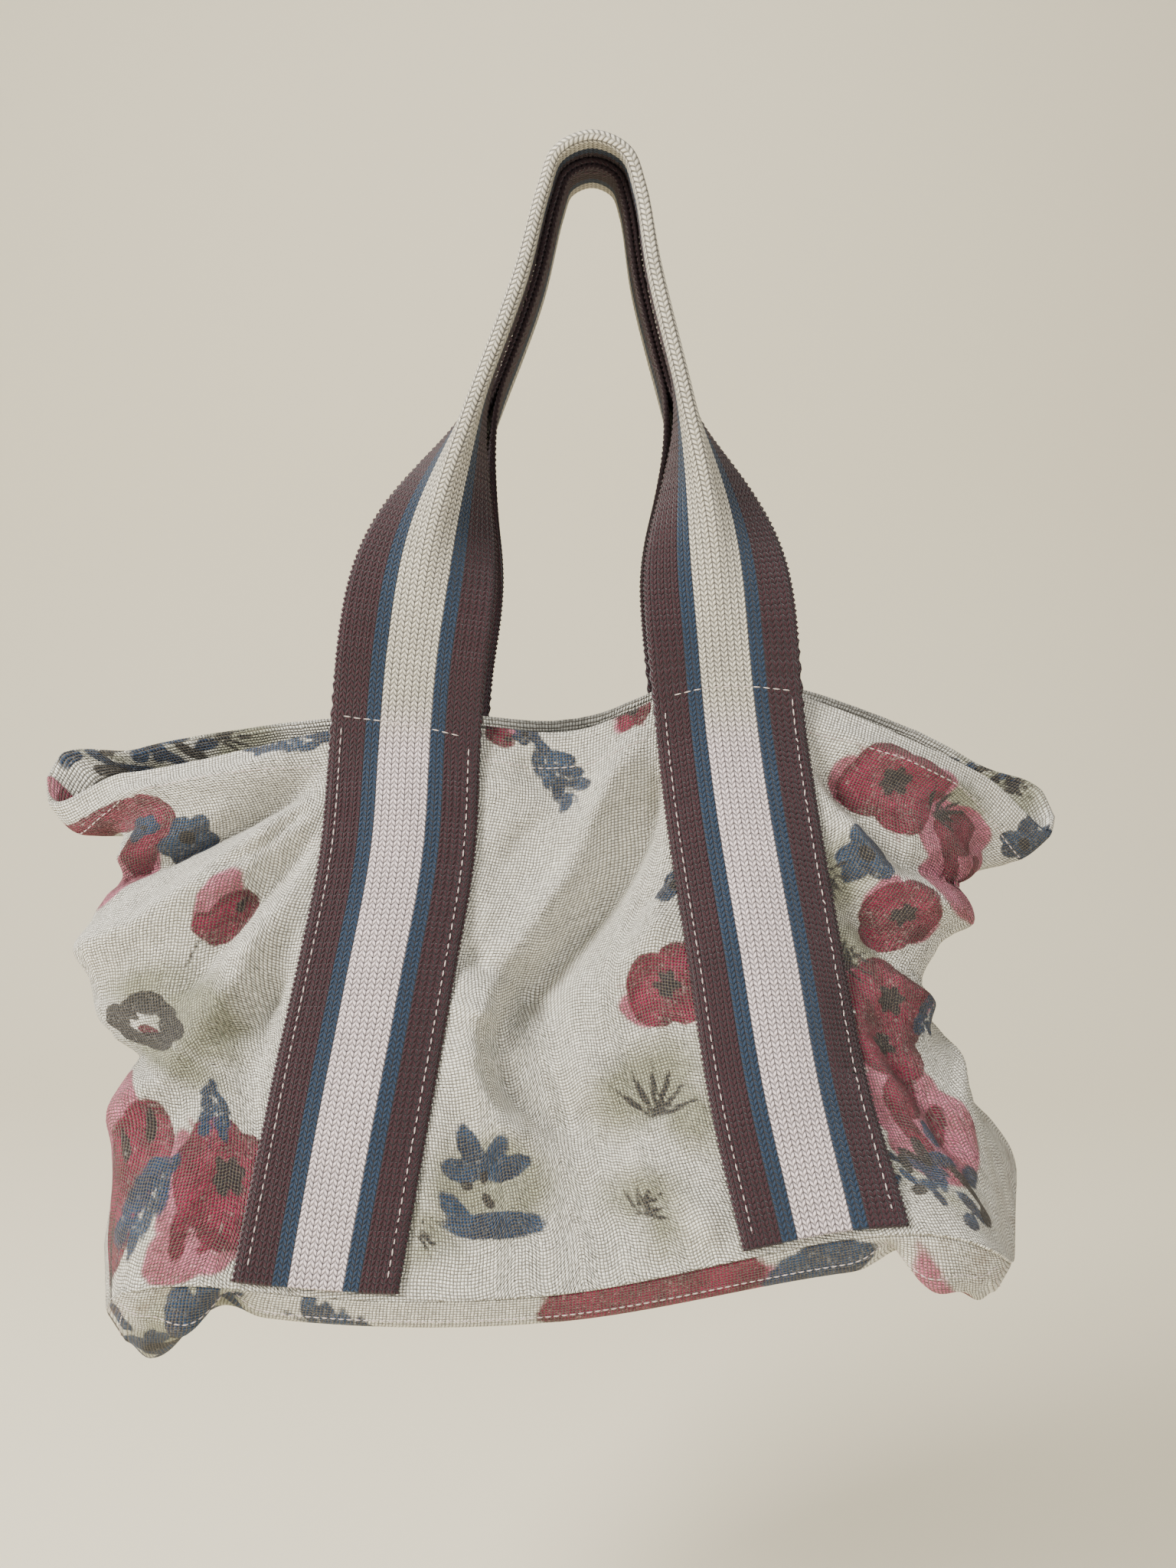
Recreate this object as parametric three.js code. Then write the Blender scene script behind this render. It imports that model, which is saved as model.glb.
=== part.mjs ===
// A canvas tote bag, hung by its two webbing handles from one point.
// Millimetres, +Z up, +X to the bag's right as seen from its front, the front facing -Y.
// The origin is the point under the two handles where something holds the bag up.
// Every cloth piece is a sheet: a surface of (u, v) with a thickness on one side of it.
import * as THREE from "three";

// Overall sizes
const MOUTH_WIDTH = 446; // from one pointed end of the mouth to the other, as it hangs
const BASE_LENGTH = 342; // corner to corner of the base
const BASE_DEPTH = 150; // front seam to back seam of the base
const BODY_HEIGHT = 206; // mouth to base seam, as it hangs
const HANDLE_DROP = 228; // hang point to mouth

// Stock
const CANVAS = 1.4; // thickness of the cloth
const WEBBING_WIDTH = 64;
const WEBBING = 2.4; // thickness of the webbing
const THREAD = 0.9; // width and thickness of a row of stitches

// Making-up sizes
const HEM_DEPTH = 16; // cloth turned in at the mouth
const WELT_WIDTH = 9; // seam allowance topstitched down beside the base seam
const STITCH_INSET = 5; // from the webbing's edge to its row of stitches
const HEM_STITCH = 13; // from the mouth to the hem's row of stitches
const FOLD_HALF = 1.6; // from the folded grip's middle to the middle of one layer
const ARCH_HALF_WIDTH = 18; // middle of the grip, where the arch turns into its legs
const EAR_DROP = 24; // how far the base's corners hang below its edge
const BASE_SAG = 9; // how far the base's middle hangs below its edges
const BODY_SHIFT = -18; // the body's middle from the hang point, because it hangs tilted
const BEND_TOP = 84; // below the hang point, where the grip's fold starts to open
const BEND_BOTTOM = 205; // below the hang point, where the webbing lies flat
const NOTCH = 28; // from the hinge line, within which a handle's ends are cut to it

// Clearances
const GAP = 0.3; // between the ends of pieces
const LOFT = 0.8; // between layers of cloth that lie on each other
const THREAD_LIFT = 1.2; // of a row of stitches off the cloth it is sewn through
const SEAM_GAP = 2.4; // between the base's edge and the panels' lower edges
const WELT_LIFT = 2.9; // of the turned seam allowance off the base
const HINGE_GAP = 1.2; // either side of the line where a handle folds
const FOOT_LIFT = 2; // of a handle's foot off the panel it hangs beside
const NEST_GAP = 1.9; // between the two handles, one under the other

// Guides of the drape. Each is one line down the bag, from the mouth to the base seam, as
// [across in half widths, out in base depths, down in body heights].
const LEFT_END = [
  [-1.0, -0.04, 0.16],
  [-0.81, -0.01, 0.35],
  [-0.93, -0.05, 0.57],
  [-0.9, -0.18, 0.75],
  [-1.1, -0.34, 1.05],
];
const RIGHT_END = [
  [1.0, -0.04, 0.245],
  [0.8, -0.01, 0.41],
  [0.73, -0.05, 0.59],
  [0.89, -0.18, 0.73],
  [1.14, -0.34, 0.9],
];
const FRONT = [
  [
    [-0.77, -0.18, 0.135],
    [-0.89, -0.24, 0.33],
    [-0.97, -0.36, 0.58],
    [-0.94, -0.48, 0.71],
    [-0.97, -0.78, 1.01],
  ],
  [
    [-0.275, -0.22, 0.03],
    [-0.3, -0.36, 0.285],
    [-0.36, -0.52, 0.54],
    [-0.435, -0.67, 0.81],
    [-0.515, -0.81, 1.065],
  ],
  [
    [0.04, -0.2, 0.055],
    [0.06, -0.29, 0.31],
    [0.04, -0.42, 0.57],
    [0.03, -0.6, 0.83],
    [0.02, -0.81, 1.06],
  ],
  [
    [0.335, -0.22, -0.05],
    [0.385, -0.36, 0.21],
    [0.45, -0.52, 0.47],
    [0.52, -0.67, 0.71],
    [0.625, -0.81, 0.96],
  ],
  [
    [0.76, -0.17, 0.105],
    [0.87, -0.23, 0.36],
    [0.79, -0.34, 0.56],
    [0.9, -0.46, 0.75],
    [1.03, -0.77, 0.92],
  ],
];
const BACK = [
  [
    [-0.77, 0.06, 0.085],
    [-0.87, 0.15, 0.33],
    [-0.94, 0.18, 0.58],
    [-0.92, 0.19, 0.76],
    [-0.97, 0.19, 1.01],
  ],
  [
    [-0.275, 0.08, 0.025],
    [-0.3, 0.13, 0.285],
    [-0.36, 0.17, 0.54],
    [-0.435, 0.19, 0.81],
    [-0.515, 0.19, 1.065],
  ],
  [
    [0.04, 0.08, 0.04],
    [0.06, 0.13, 0.3],
    [0.04, 0.16, 0.56],
    [0.03, 0.18, 0.82],
    [0.02, 0.19, 1.05],
  ],
  [
    [0.335, 0.08, -0.055],
    [0.385, 0.13, 0.21],
    [0.45, 0.17, 0.47],
    [0.52, 0.19, 0.71],
    [0.625, 0.19, 0.96],
  ],
  [
    [0.76, 0.07, 0.075],
    [0.84, 0.15, 0.33],
    [0.79, 0.18, 0.56],
    [0.89, 0.19, 0.74],
    [1.03, 0.19, 0.92],
  ],
];
const LEFT_STRAP = 2; // which guide of a panel the strap's middle runs down, ends counted
const RIGHT_STRAP = 4;
const CORNERS = [1, 5]; // the guides that end at the base's corners

// How finely each piece is divided: a sheet's grid is [along, down]
const PANEL_GRID = [36, 12];
const TURNING_GRID = [32, 1];
const STRAP_GRID = [6, 16];
const HANDLE_GRID = [8, 60];
const BASE_GRID = [30, 12];
const LONG_WELT_GRID = [28, 1];
const END_WELT_GRID = [1, 12];
const SECTION_DIVISIONS = 120; // of a level line, for its lengths
const HANDLE_DIVISIONS = 400; // of a handle's middle line, for its lengths
const ARCH_POINTS = 5; // of a handle's middle line, over the top

// Points laid for each row of stitches, and the steps of the thread through them
const STRAP_ROW = { down: 18, across: 7, steps: 36 };
const HEM_ROW = { points: 8, steps: 14 };
const GRIP_ROW = { points: 17, steps: 30 };
const WELT_ROW = { points: 29, steps: 28 };

// Materials
const COTTON_ROUGHNESS = 0.92;
const cotton = (color) =>
  new THREE.MeshStandardMaterial({ color, roughness: COTTON_ROUGHNESS, metalness: 0 });
const CLOTH = "#d0ccbe";
const MAROON = "#4a3436";
const PALE_THREAD = "#cfc5b8";

const group = new THREE.Group();

function add(name, geometry, color) {
  const mesh = new THREE.Mesh(geometry, cotton(color));
  mesh.name = name;
  group.add(mesh);
}

// ---- Sheets -------------------------------------------------------------------------

const STEP = 1e-3; // of a surface's u or v, for its normal

function normalAt(surface, u, v) {
  const along = surface(u + STEP, v).sub(surface(u - STEP, v));
  const down = surface(u, v + STEP).sub(surface(u, v - STEP));
  return along.cross(down).normalize();
}

// A box whose faces are laid on the surface: it fills from `inner` to `outer`, both
// measured along the surface's normal.
function sheet(surface, columns, rows, inner, outer) {
  const geometry = new THREE.BoxGeometry(1, 1, 1, columns, rows, 1);
  const position = geometry.getAttribute("position");
  for (let i = 0; i < position.count; i += 1) {
    const u = position.getX(i) + 0.5;
    const v = 0.5 - position.getY(i);
    const height = THREE.MathUtils.lerp(inner, outer, 0.5 - position.getZ(i));
    const point = surface(u, v).addScaledVector(normalAt(surface, u, v), height);
    position.setXYZ(i, point.x, point.y, point.z);
  }
  return geometry;
}

// ---- The draped body ----------------------------------------------------------------

function place([across, out, down], v) {
  const half = THREE.MathUtils.lerp(MOUTH_WIDTH, BASE_LENGTH, v) / 2;
  return new THREE.Vector3(
    BODY_SHIFT + across * half,
    out * BASE_DEPTH,
    -HANDLE_DROP - down * BODY_HEIGHT,
  );
}

function guideCurve(points) {
  const last = points.length - 1;
  return new THREE.CatmullRomCurve3(points.map((p, row) => place(p, row / last)));
}

const FRONT_GUIDES = [LEFT_END, ...FRONT, RIGHT_END].map(guideCurve);
const BACK_GUIDES = [LEFT_END, ...BACK, RIGHT_END].map(guideCurve);

// One level line of a panel, from its left end to its right end.
const SECTIONS = new Map();
function section(guides, v) {
  const known = SECTIONS.get(guides) ?? SECTIONS.set(guides, new Map()).get(guides);
  if (!known.has(v)) {
    const clamped = THREE.MathUtils.clamp(v, 0, 1);
    const past = v - clamped;
    const tangent = (g) => g.getTangent(clamped).multiplyScalar(past * BODY_HEIGHT);
    const points = guides.map((g) => g.getPoint(clamped).add(tangent(g)));
    const curve = new THREE.CatmullRomCurve3(points);
    curve.arcLengthDivisions = SECTION_DIVISIONS;
    known.set(v, curve);
  }
  return known.get(v);
}

// The distance along a level line to one of its guides.
function reach(guides, v, guide) {
  const curve = section(guides, v);
  const lengths = curve.getLengths(SECTION_DIVISIONS);
  return lengths[(guide * SECTION_DIVISIONS) / (guides.length - 1)];
}

// The point a distance along a level line; past its ends it runs straight on.
function onPanel(guides, distance, v) {
  const curve = section(guides, v);
  const whole = curve.getLength();
  const u = THREE.MathUtils.clamp(distance / whole, 0, 1);
  const past = distance - u * whole;
  return curve.getPointAt(u).addScaledVector(curve.getTangentAt(u), past);
}

// A panel, or a strip of it between two levels, as a surface of (u, v). Its ends stop
// short of the side seams' middles by the inset at that level.
function panelSurface(guides, top, bottom, insetAt) {
  return (u, v) => {
    const level = THREE.MathUtils.lerp(top, bottom, v);
    const whole = section(guides, level).getLength();
    const inset = insetAt(level);
    return onPanel(guides, THREE.MathUtils.lerp(inset, whole - inset, u), level);
  };
}

// The side of a panel that faces out of the bag, as a sign along its surface's normal.
const OUT = { front: -1, back: 1 };

function panelSheet(side, guides, top, bottom, insetAt, grid, from, thickness) {
  const surface = panelSurface(guides, top, bottom, insetAt);
  const [a, b] = [from * OUT[side], (from + thickness) * OUT[side]];
  return sheet(surface, ...grid, Math.min(a, b), Math.max(a, b));
}

const SIDE_SEAM = 1.2; // from a panel's end to the middle of its side seam, low down
const POINT_SEAM = 6.5; // the same at the mouth's points, where the panels meet edge on
const POINT_LEVEL = 0.5; // by which the one has become the other
const TURNING_INSET = 40; // the turned hem ends where the mouth's points pinch it
const SIDES = { front: FRONT_GUIDES, back: BACK_GUIDES };
const share = (distance) => distance / BODY_HEIGHT;

function sideInset(level) {
  const low = THREE.MathUtils.smoothstep(level, 0, POINT_LEVEL);
  return THREE.MathUtils.lerp(POINT_SEAM, SIDE_SEAM, low);
}

function addPanel(side, guides) {
  add(`${side}_panel`, panelSheet(side, guides, 0, 1, sideInset, PANEL_GRID, 0, -CANVAS), CLOTH);
  const levels = [share(GAP), share(HEM_DEPTH)];
  const inset = () => TURNING_INSET;
  const inside = -CANVAS - LOFT;
  const hem = panelSheet(side, guides, ...levels, inset, TURNING_GRID, inside, -CANVAS);
  add(`${side}_hem_turning`, hem, CLOTH);
}

// ---- Webbing ------------------------------------------------------------------------

// Where a handle folds down: a straight line through the tops of its two straps.
function hingeLine(side) {
  const guides = SIDES[side];
  const top = (guide) => onPanel(guides, reach(guides, 0, guide), 0);
  const [left, right] = [top(LEFT_STRAP), top(RIGHT_STRAP)];
  const slope = (right.z - left.z) / (right.x - left.x);
  return { left, right, heightAt: (x) => left.z + (x - left.x) * slope, slope };
}

// A strap sewn down a panel, as a surface: u across it, v from the hinge line to the base.
function strapSurface(side, guide) {
  const guides = SIDES[side];
  const line = hingeLine(side);
  return (u, v) => {
    const across = (u - 0.5) * WEBBING_WIDTH;
    const top = onPanel(guides, reach(guides, 0, guide) + across, 0);
    const start = share(top.z - line.heightAt(top.x) + HINGE_GAP);
    const level = THREE.MathUtils.lerp(start, 1, v);
    return onPanel(guides, reach(guides, level, guide) + across, level);
  };
}

// A row of stitches: a thin square cord on the given points.
function threadOn(points, steps) {
  const half = THREAD / 2;
  const corners = [
    [-half, -half],
    [half, -half],
    [half, half],
    [-half, half],
  ];
  const profile = new THREE.Shape(corners.map(([x, y]) => new THREE.Vector2(x, y)));
  const extrudePath = new THREE.CatmullRomCurve3(points, false, "catmullrom", 0);
  return new THREE.ExtrudeGeometry(profile, { steps, extrudePath, bevelEnabled: false });
}

// Points on a surface, lifted off it along its normal.
function lifted(surface, places, height) {
  return places.map(([u, v]) => surface(u, v).addScaledVector(normalAt(surface, u, v), height));
}

const range = (from, to, count) =>
  Array.from({ length: count }, (_, i) => THREE.MathUtils.lerp(from, to, i / (count - 1)));

function addStrap(side, guide, name) {
  const surface = strapSurface(side, guide);
  const [low, high] = [LOFT, LOFT + WEBBING].map((h) => h * OUT[side]);
  const geometry = sheet(surface, ...STRAP_GRID, Math.min(low, high), Math.max(low, high));
  add(`${side}_strap_${name}`, geometry, MAROON);
  const edge = STITCH_INSET / WEBBING_WIDTH;
  const top = share(STITCH_INSET);
  const down = range(top, 1 - share(GAP), STRAP_ROW.down);
  const places = [
    ...down.toReversed().map((v) => [edge, v]),
    ...range(edge, 1 - edge, STRAP_ROW.across).slice(1, -1).map((u) => [u, top]),
    ...down.map((v) => [1 - edge, v]),
  ];
  const height = (LOFT + WEBBING + THREAD_LIFT + THREAD / 2) * OUT[side];
  const thread = threadOn(lifted(surface, places, height), STRAP_ROW.steps);
  add(`${side}_strap_stitch_${name}`, thread, PALE_THREAD);
}

// The hem's stitches, between and outside the straps, which hide the rest.
function addHemStitches(side, guides) {
  const level = share(HEM_STITCH);
  const surface = (u, v) => onPanel(guides, u, v);
  const whole = section(guides, level).getLength();
  const clear = WEBBING_WIDTH / 2 + THREAD * 2;
  const [left, right] = [LEFT_STRAP, RIGHT_STRAP].map((g) => reach(guides, level, g));
  const rows = {
    left: [TURNING_INSET, left - clear],
    middle: [left + clear, right - clear],
    right: [right + clear, whole - TURNING_INSET],
  };
  for (const [name, [from, to]] of Object.entries(rows)) {
    const places = range(from, to, HEM_ROW.points).map((distance) => [distance, level]);
    const points = lifted(surface, places, (THREAD_LIFT + THREAD / 2) * OUT[side]);
    add(`${side}_hem_stitch_${name}`, threadOn(points, HEM_ROW.steps), PALE_THREAD);
  }
}

// ---- Handles ------------------------------------------------------------------------

const LAYERS_HALF = FOLD_HALF + WEBBING / 2; // half the folded grip's thickness
const NEST = 2 * LAYERS_HALF + NEST_GAP; // from one grip's middle to the other's
const BACK_RADIUS = ARCH_HALF_WIDTH - NEST;
const ARCH_Z = LAYERS_HALF - BACK_RADIUS; // both arches turn about the same middle
const LEG = [
  // share of the way out to the strap, share of the way down, share of the nesting kept
  [0.19, 0.16, 1.0],
  [0.53, 0.42, 0.75],
  [0.79, 0.63, 0.3],
  [0.94, 0.86, 0.05],
];
// How far each grip's fold lies from the hang point, front to back, down its legs, in
// webbing widths.
const FRONT_FOLD = [-0.5625, -0.578, -0.594, -0.578, -0.5625];
const BACK_FOLD = [0.234, 0.3125, 0.4375, 0.375, 0.266];
const HANDLES = {
  front: { radius: ARCH_HALF_WIDTH, kept: 0, facing: 1, fold: FRONT_FOLD },
  back: { radius: BACK_RADIUS, kept: NEST, facing: -1, fold: BACK_FOLD },
};

// The middle of a handle's fold, from the left strap over the arch to the right one.
function handleCurve(side) {
  const { radius, kept, fold } = HANDLES[side];
  const line = hingeLine(side);
  const lift = (FOOT_LIFT + WEBBING / 2) * OUT[side];
  const leg = (top, sign) => {
    const start = sign * ARCH_HALF_WIDTH;
    const points = LEG.map(([across, down, nested], i) => {
      const x = THREE.MathUtils.lerp(start, top.x, across) - sign * kept * nested;
      const z = THREE.MathUtils.lerp(ARCH_Z, top.z, down);
      return new THREE.Vector3(x, fold[i + 1] * WEBBING_WIDTH, z);
    });
    return [...points, new THREE.Vector3(top.x, top.y + lift, top.z)];
  };
  const arch = range(Math.PI, 0, ARCH_POINTS).map((turn) => {
    const [x, z] = [radius * Math.cos(turn), ARCH_Z + radius * Math.sin(turn)];
    return new THREE.Vector3(x, fold[0] * WEBBING_WIDTH, z);
  });
  const points = [...leg(line.left, -1).toReversed(), ...arch, ...leg(line.right, 1)];
  const curve = new THREE.CatmullRomCurve3(points);
  curve.arcLengthDivisions = HANDLE_DIVISIONS;
  return curve;
}

const BACKWARDS = new THREE.Vector3(0, 1, 0);
const FOLD_ARC = (FOLD_HALF * Math.PI) / 2; // cloth taken up by half the fold

// Across folded webbing: how far sideways and how far into the fold a point lies, at a
// distance from the fold's middle, where each half is turned by `bend`.
function foldedAcross(distance, bend) {
  const arc = Math.min(Math.abs(distance), FOLD_ARC);
  const flat = Math.abs(distance) - arc;
  const turned = (bend * arc) / FOLD_ARC;
  const radius = FOLD_ARC / bend;
  const sideways = radius * Math.sin(turned) + flat * Math.cos(bend);
  const inwards = radius * (1 - Math.cos(turned)) + flat * Math.sin(bend);
  return [Math.sign(distance) * sideways, inwards];
}

const LEAST_BEND = 1e-4;
function bendAt(height) {
  const open = THREE.MathUtils.smoothstep(-height, BEND_TOP, BEND_BOTTOM);
  return Math.max((Math.PI / 2) * (1 - open), LEAST_BEND);
}

// A handle as a surface: u across the webbing, v along it from left strap to right strap.
// Its two ends are cut along the hinge line.
const FINE_FOLD = 1.6; // crowds the columns towards the fold
const SEWN_SHUT = [0.36, 0.64]; // shares of a handle's length between which its fold is sewn
function handleSurface(side) {
  const curve = handleCurve(side);
  const length = curve.getLength();
  const line = hingeLine(side);
  const { facing } = HANDLES[side];
  return (u, v) => {
    const along = THREE.MathUtils.clamp(v, 0, 1);
    const middle = curve.getPointAt(along);
    const tangent = curve.getTangentAt(along);
    middle.addScaledVector(tangent, (v - along) * length);
    const inner = new THREE.Vector3().crossVectors(BACKWARDS, tangent).normalize();
    const across = 2 * u - 1;
    const distance = (WEBBING_WIDTH / 2) * Math.sign(across) * Math.abs(across) ** FINE_FOLD;
    const [sideways, inwards] = foldedAcross(distance, bendAt(middle.z));
    const point = middle.addScaledVector(inner, sideways);
    point.addScaledVector(BACKWARDS, inwards * facing);
    const toEnd = Math.min(along, 1 - along) * length;
    const cut = 1 - THREE.MathUtils.smoothstep(toEnd, 0, NOTCH);
    const miss = line.heightAt(point.x) + HINGE_GAP - point.z;
    return point.addScaledVector(tangent, (cut * miss) / (tangent.z - tangent.x * line.slope));
  };
}

function addHandle(side) {
  const surface = handleSurface(side);
  const geometry = sheet(surface, ...HANDLE_GRID, -WEBBING / 2, WEBBING / 2);
  add(`${side}_handle`, geometry, MAROON);
  const outerEdge = 0.5 * (1 - (1 - (2 * STITCH_INSET) / WEBBING_WIDTH) ** (1 / FINE_FOLD));
  const sewn = { front: outerEdge, back: 1 - outerEdge }[side];
  const closed = range(...SEWN_SHUT, GRIP_ROW.points).map((v) => [sewn, v]);
  const height = THREAD_LIFT + (WEBBING + THREAD) / 2;
  const points = lifted(surface, closed, height * HANDLES[side].facing);
  add(`${side}_grip_stitch`, threadOn(points, GRIP_ROW.steps), PALE_THREAD);
}

// ---- Base ---------------------------------------------------------------------------

const EAR_ALONG = 0.09; // an ear's reach along the base and across it, as shares of it
const EAR_ACROSS = 0.2;
const SAG_POWER = 4;
const END_WELT_CLEAR = 1.5; // welt widths left between an end welt and the base's long edges
const WELT_STITCH_END = 0.01; // share of a welt's length left unsewn at each end

// The base's edge at a corner-to-corner share, on either panel's lower edge.
function lowerEdge(guides, from, to) {
  const level = 1 + share(SEAM_GAP);
  const [a, b] = [from, to].map((guide) => reach(guides, level, guide));
  return (t) => onPanel(guides, THREE.MathUtils.lerp(a, b, t), level);
}

// One end of the base: round the bag's end from the front corner to the back one.
function endEdge(corner, end) {
  const front = lowerEdge(FRONT_GUIDES, corner, end);
  const back = lowerEdge(BACK_GUIDES, end, corner);
  return (t) => (t < 0.5 ? front(2 * t) : back(2 * t - 1));
}

function ear(u, v) {
  const bump = (at, wide) => Math.exp(-(((at - wide / 2) / wide) ** 2));
  const along = bump(Math.min(u, 1 - u), EAR_ALONG);
  const across = bump(Math.min(v, 1 - v), EAR_ACROSS);
  const held = THREE.MathUtils.smoothstep(Math.min(u, 1 - u) * 2, 0, EAR_ALONG);
  const sewn = THREE.MathUtils.smoothstep(Math.min(v, 1 - v) * 2, 0, EAR_ACROSS);
  return EAR_DROP * along * across * held * sewn;
}

function baseSurface() {
  const front = lowerEdge(FRONT_GUIDES, ...CORNERS);
  const back = lowerEdge(BACK_GUIDES, ...CORNERS);
  const left = endEdge(CORNERS[0], 0);
  const right = endEdge(CORNERS[1], FRONT_GUIDES.length - 1);
  const mix = (a, b, t) => a.clone().lerp(b, t);
  return (u, v) => {
    const lengthwise = mix(front(u), back(u), v);
    const crosswise = mix(left(v), right(v), u);
    const corners = mix(mix(front(0), front(1), u), mix(back(0), back(1), u), v);
    const point = lengthwise.add(crosswise).sub(corners);
    const edge = (t) => 1 - Math.abs(2 * THREE.MathUtils.clamp(t, 0, 1) - 1) ** SAG_POWER;
    point.z -= BASE_SAG * edge(u) * edge(v) + ear(u, v);
    return point;
  };
}

function addBase() {
  const surface = baseSurface();
  add("base_panel", sheet(surface, ...BASE_GRID, -CANVAS, 0), CLOTH);
  const near = 2 * GAP;
  const [a, b] = [near / BASE_DEPTH, WELT_WIDTH / BASE_DEPTH];
  const [c, d] = [near / BASE_LENGTH, WELT_WIDTH / BASE_LENGTH];
  const clear = END_WELT_CLEAR * b;
  const welts = {
    front: { u: [c, 1 - c], v: [a, b], grid: LONG_WELT_GRID },
    back: { u: [c, 1 - c], v: [1 - b, 1 - a], grid: LONG_WELT_GRID },
    left_end: { u: [c, d], v: [clear, 1 - clear], grid: END_WELT_GRID },
    right_end: { u: [1 - d, 1 - c], v: [clear, 1 - clear], grid: END_WELT_GRID },
  };
  for (const [name, { u, v, grid }] of Object.entries(welts)) {
    const strip = (s, t) => surface(THREE.MathUtils.lerp(...u, s), THREE.MathUtils.lerp(...v, t));
    const face = -(CANVAS + WELT_LIFT);
    add(`${name}_base_welt`, sheet(strip, ...grid, face - CANVAS, face), CLOTH);
    const lengthwise = grid[0] > grid[1];
    const stretch = [WELT_STITCH_END, 1 - WELT_STITCH_END];
    const along = range(...stretch, WELT_ROW.points);
    const places = along.map((t) => (lengthwise ? [t, 0.5] : [0.5, t]));
    const height = face - CANVAS - THREAD_LIFT - THREAD / 2;
    const thread = threadOn(lifted(strip, places, height), WELT_ROW.steps);
    add(`${name}_base_stitch`, thread, PALE_THREAD);
  }
}

// ---- The bag ------------------------------------------------------------------------

for (const [side, guides] of Object.entries(SIDES)) {
  addPanel(side, guides);
  addHemStitches(side, guides);
  addStrap(side, LEFT_STRAP, "left");
  addStrap(side, RIGHT_STRAP, "right");
  addHandle(side);
}
addBase();

export default group;
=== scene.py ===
"""Canvas tote bag, hung by its two webbing handles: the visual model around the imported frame."""
import logging
import math
from dataclasses import dataclass, field
from enum import Enum
from typing import Callable

import bpy
import numpy as np
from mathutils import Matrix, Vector


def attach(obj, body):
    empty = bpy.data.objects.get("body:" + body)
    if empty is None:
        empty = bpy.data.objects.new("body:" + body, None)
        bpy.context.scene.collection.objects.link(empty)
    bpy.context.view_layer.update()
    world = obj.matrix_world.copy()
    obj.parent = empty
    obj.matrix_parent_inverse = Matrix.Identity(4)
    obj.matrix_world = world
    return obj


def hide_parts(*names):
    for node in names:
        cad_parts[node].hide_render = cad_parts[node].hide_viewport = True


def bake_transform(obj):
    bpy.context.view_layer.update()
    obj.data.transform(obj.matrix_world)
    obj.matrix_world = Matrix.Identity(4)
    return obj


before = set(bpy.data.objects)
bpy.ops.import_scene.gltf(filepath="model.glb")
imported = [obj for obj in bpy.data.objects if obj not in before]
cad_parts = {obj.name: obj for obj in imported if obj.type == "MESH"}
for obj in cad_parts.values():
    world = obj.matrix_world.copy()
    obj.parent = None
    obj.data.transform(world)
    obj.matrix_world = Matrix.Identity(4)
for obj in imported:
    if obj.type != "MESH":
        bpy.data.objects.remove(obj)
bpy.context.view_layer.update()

MM = 0.001
LOG = logging.getLogger("tote")
Array = np.ndarray


class Side(Enum):
    """A face of the bag; the value is the way out of it along a panel's own normal."""

    FRONT = -1
    BACK = 1

    @property
    def word(self) -> str:
        """The side's name in node and body names."""
        return self.name.lower()


class Ink(Enum):
    """The print's five screens, each a channel of one of the two print attributes."""

    RED = 0
    PINK = 1
    BLUE = 2
    OLIVE = 3
    BLACK = 4


@dataclass(frozen=True)
class Sizes:
    """The bag's sizes in millimetres: its CAD model's, with cloth, arch and folds eased."""

    mouth_width: float = 446
    base_length: float = 342
    base_depth: float = 150
    body_height: float = 206
    handle_drop: float = 228
    body_shift: float = -18
    canvas: float = 1.2
    webbing_width: float = 64
    webbing: float = 2.4
    webbing_lift: float = 0.9
    foot_lift: float = 2.0
    fold_half: float = 2.15
    arch_half_width: float = 20
    nest: float = 5.3
    pressed_half: float = 1.35
    closed_half: float = 1.3
    bend_top: float = 84
    bend_bottom: float = 205
    hem_depth: float = 16
    hem_roll: float = 1.7
    hem_stitch: float = 13
    welt_width: float = 9
    welt_rise: float = 1.5
    tail: float = 3
    stitch_inset: float = 5
    band_drop: float = 17
    ear_drop: float = 32.5
    cut_ease: float = 1.14  # height of the cut cloth to the height it hangs


SIZES = Sizes()
KNIT_ROW = 0.00225  # metres of webbing to one row of its knit

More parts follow.
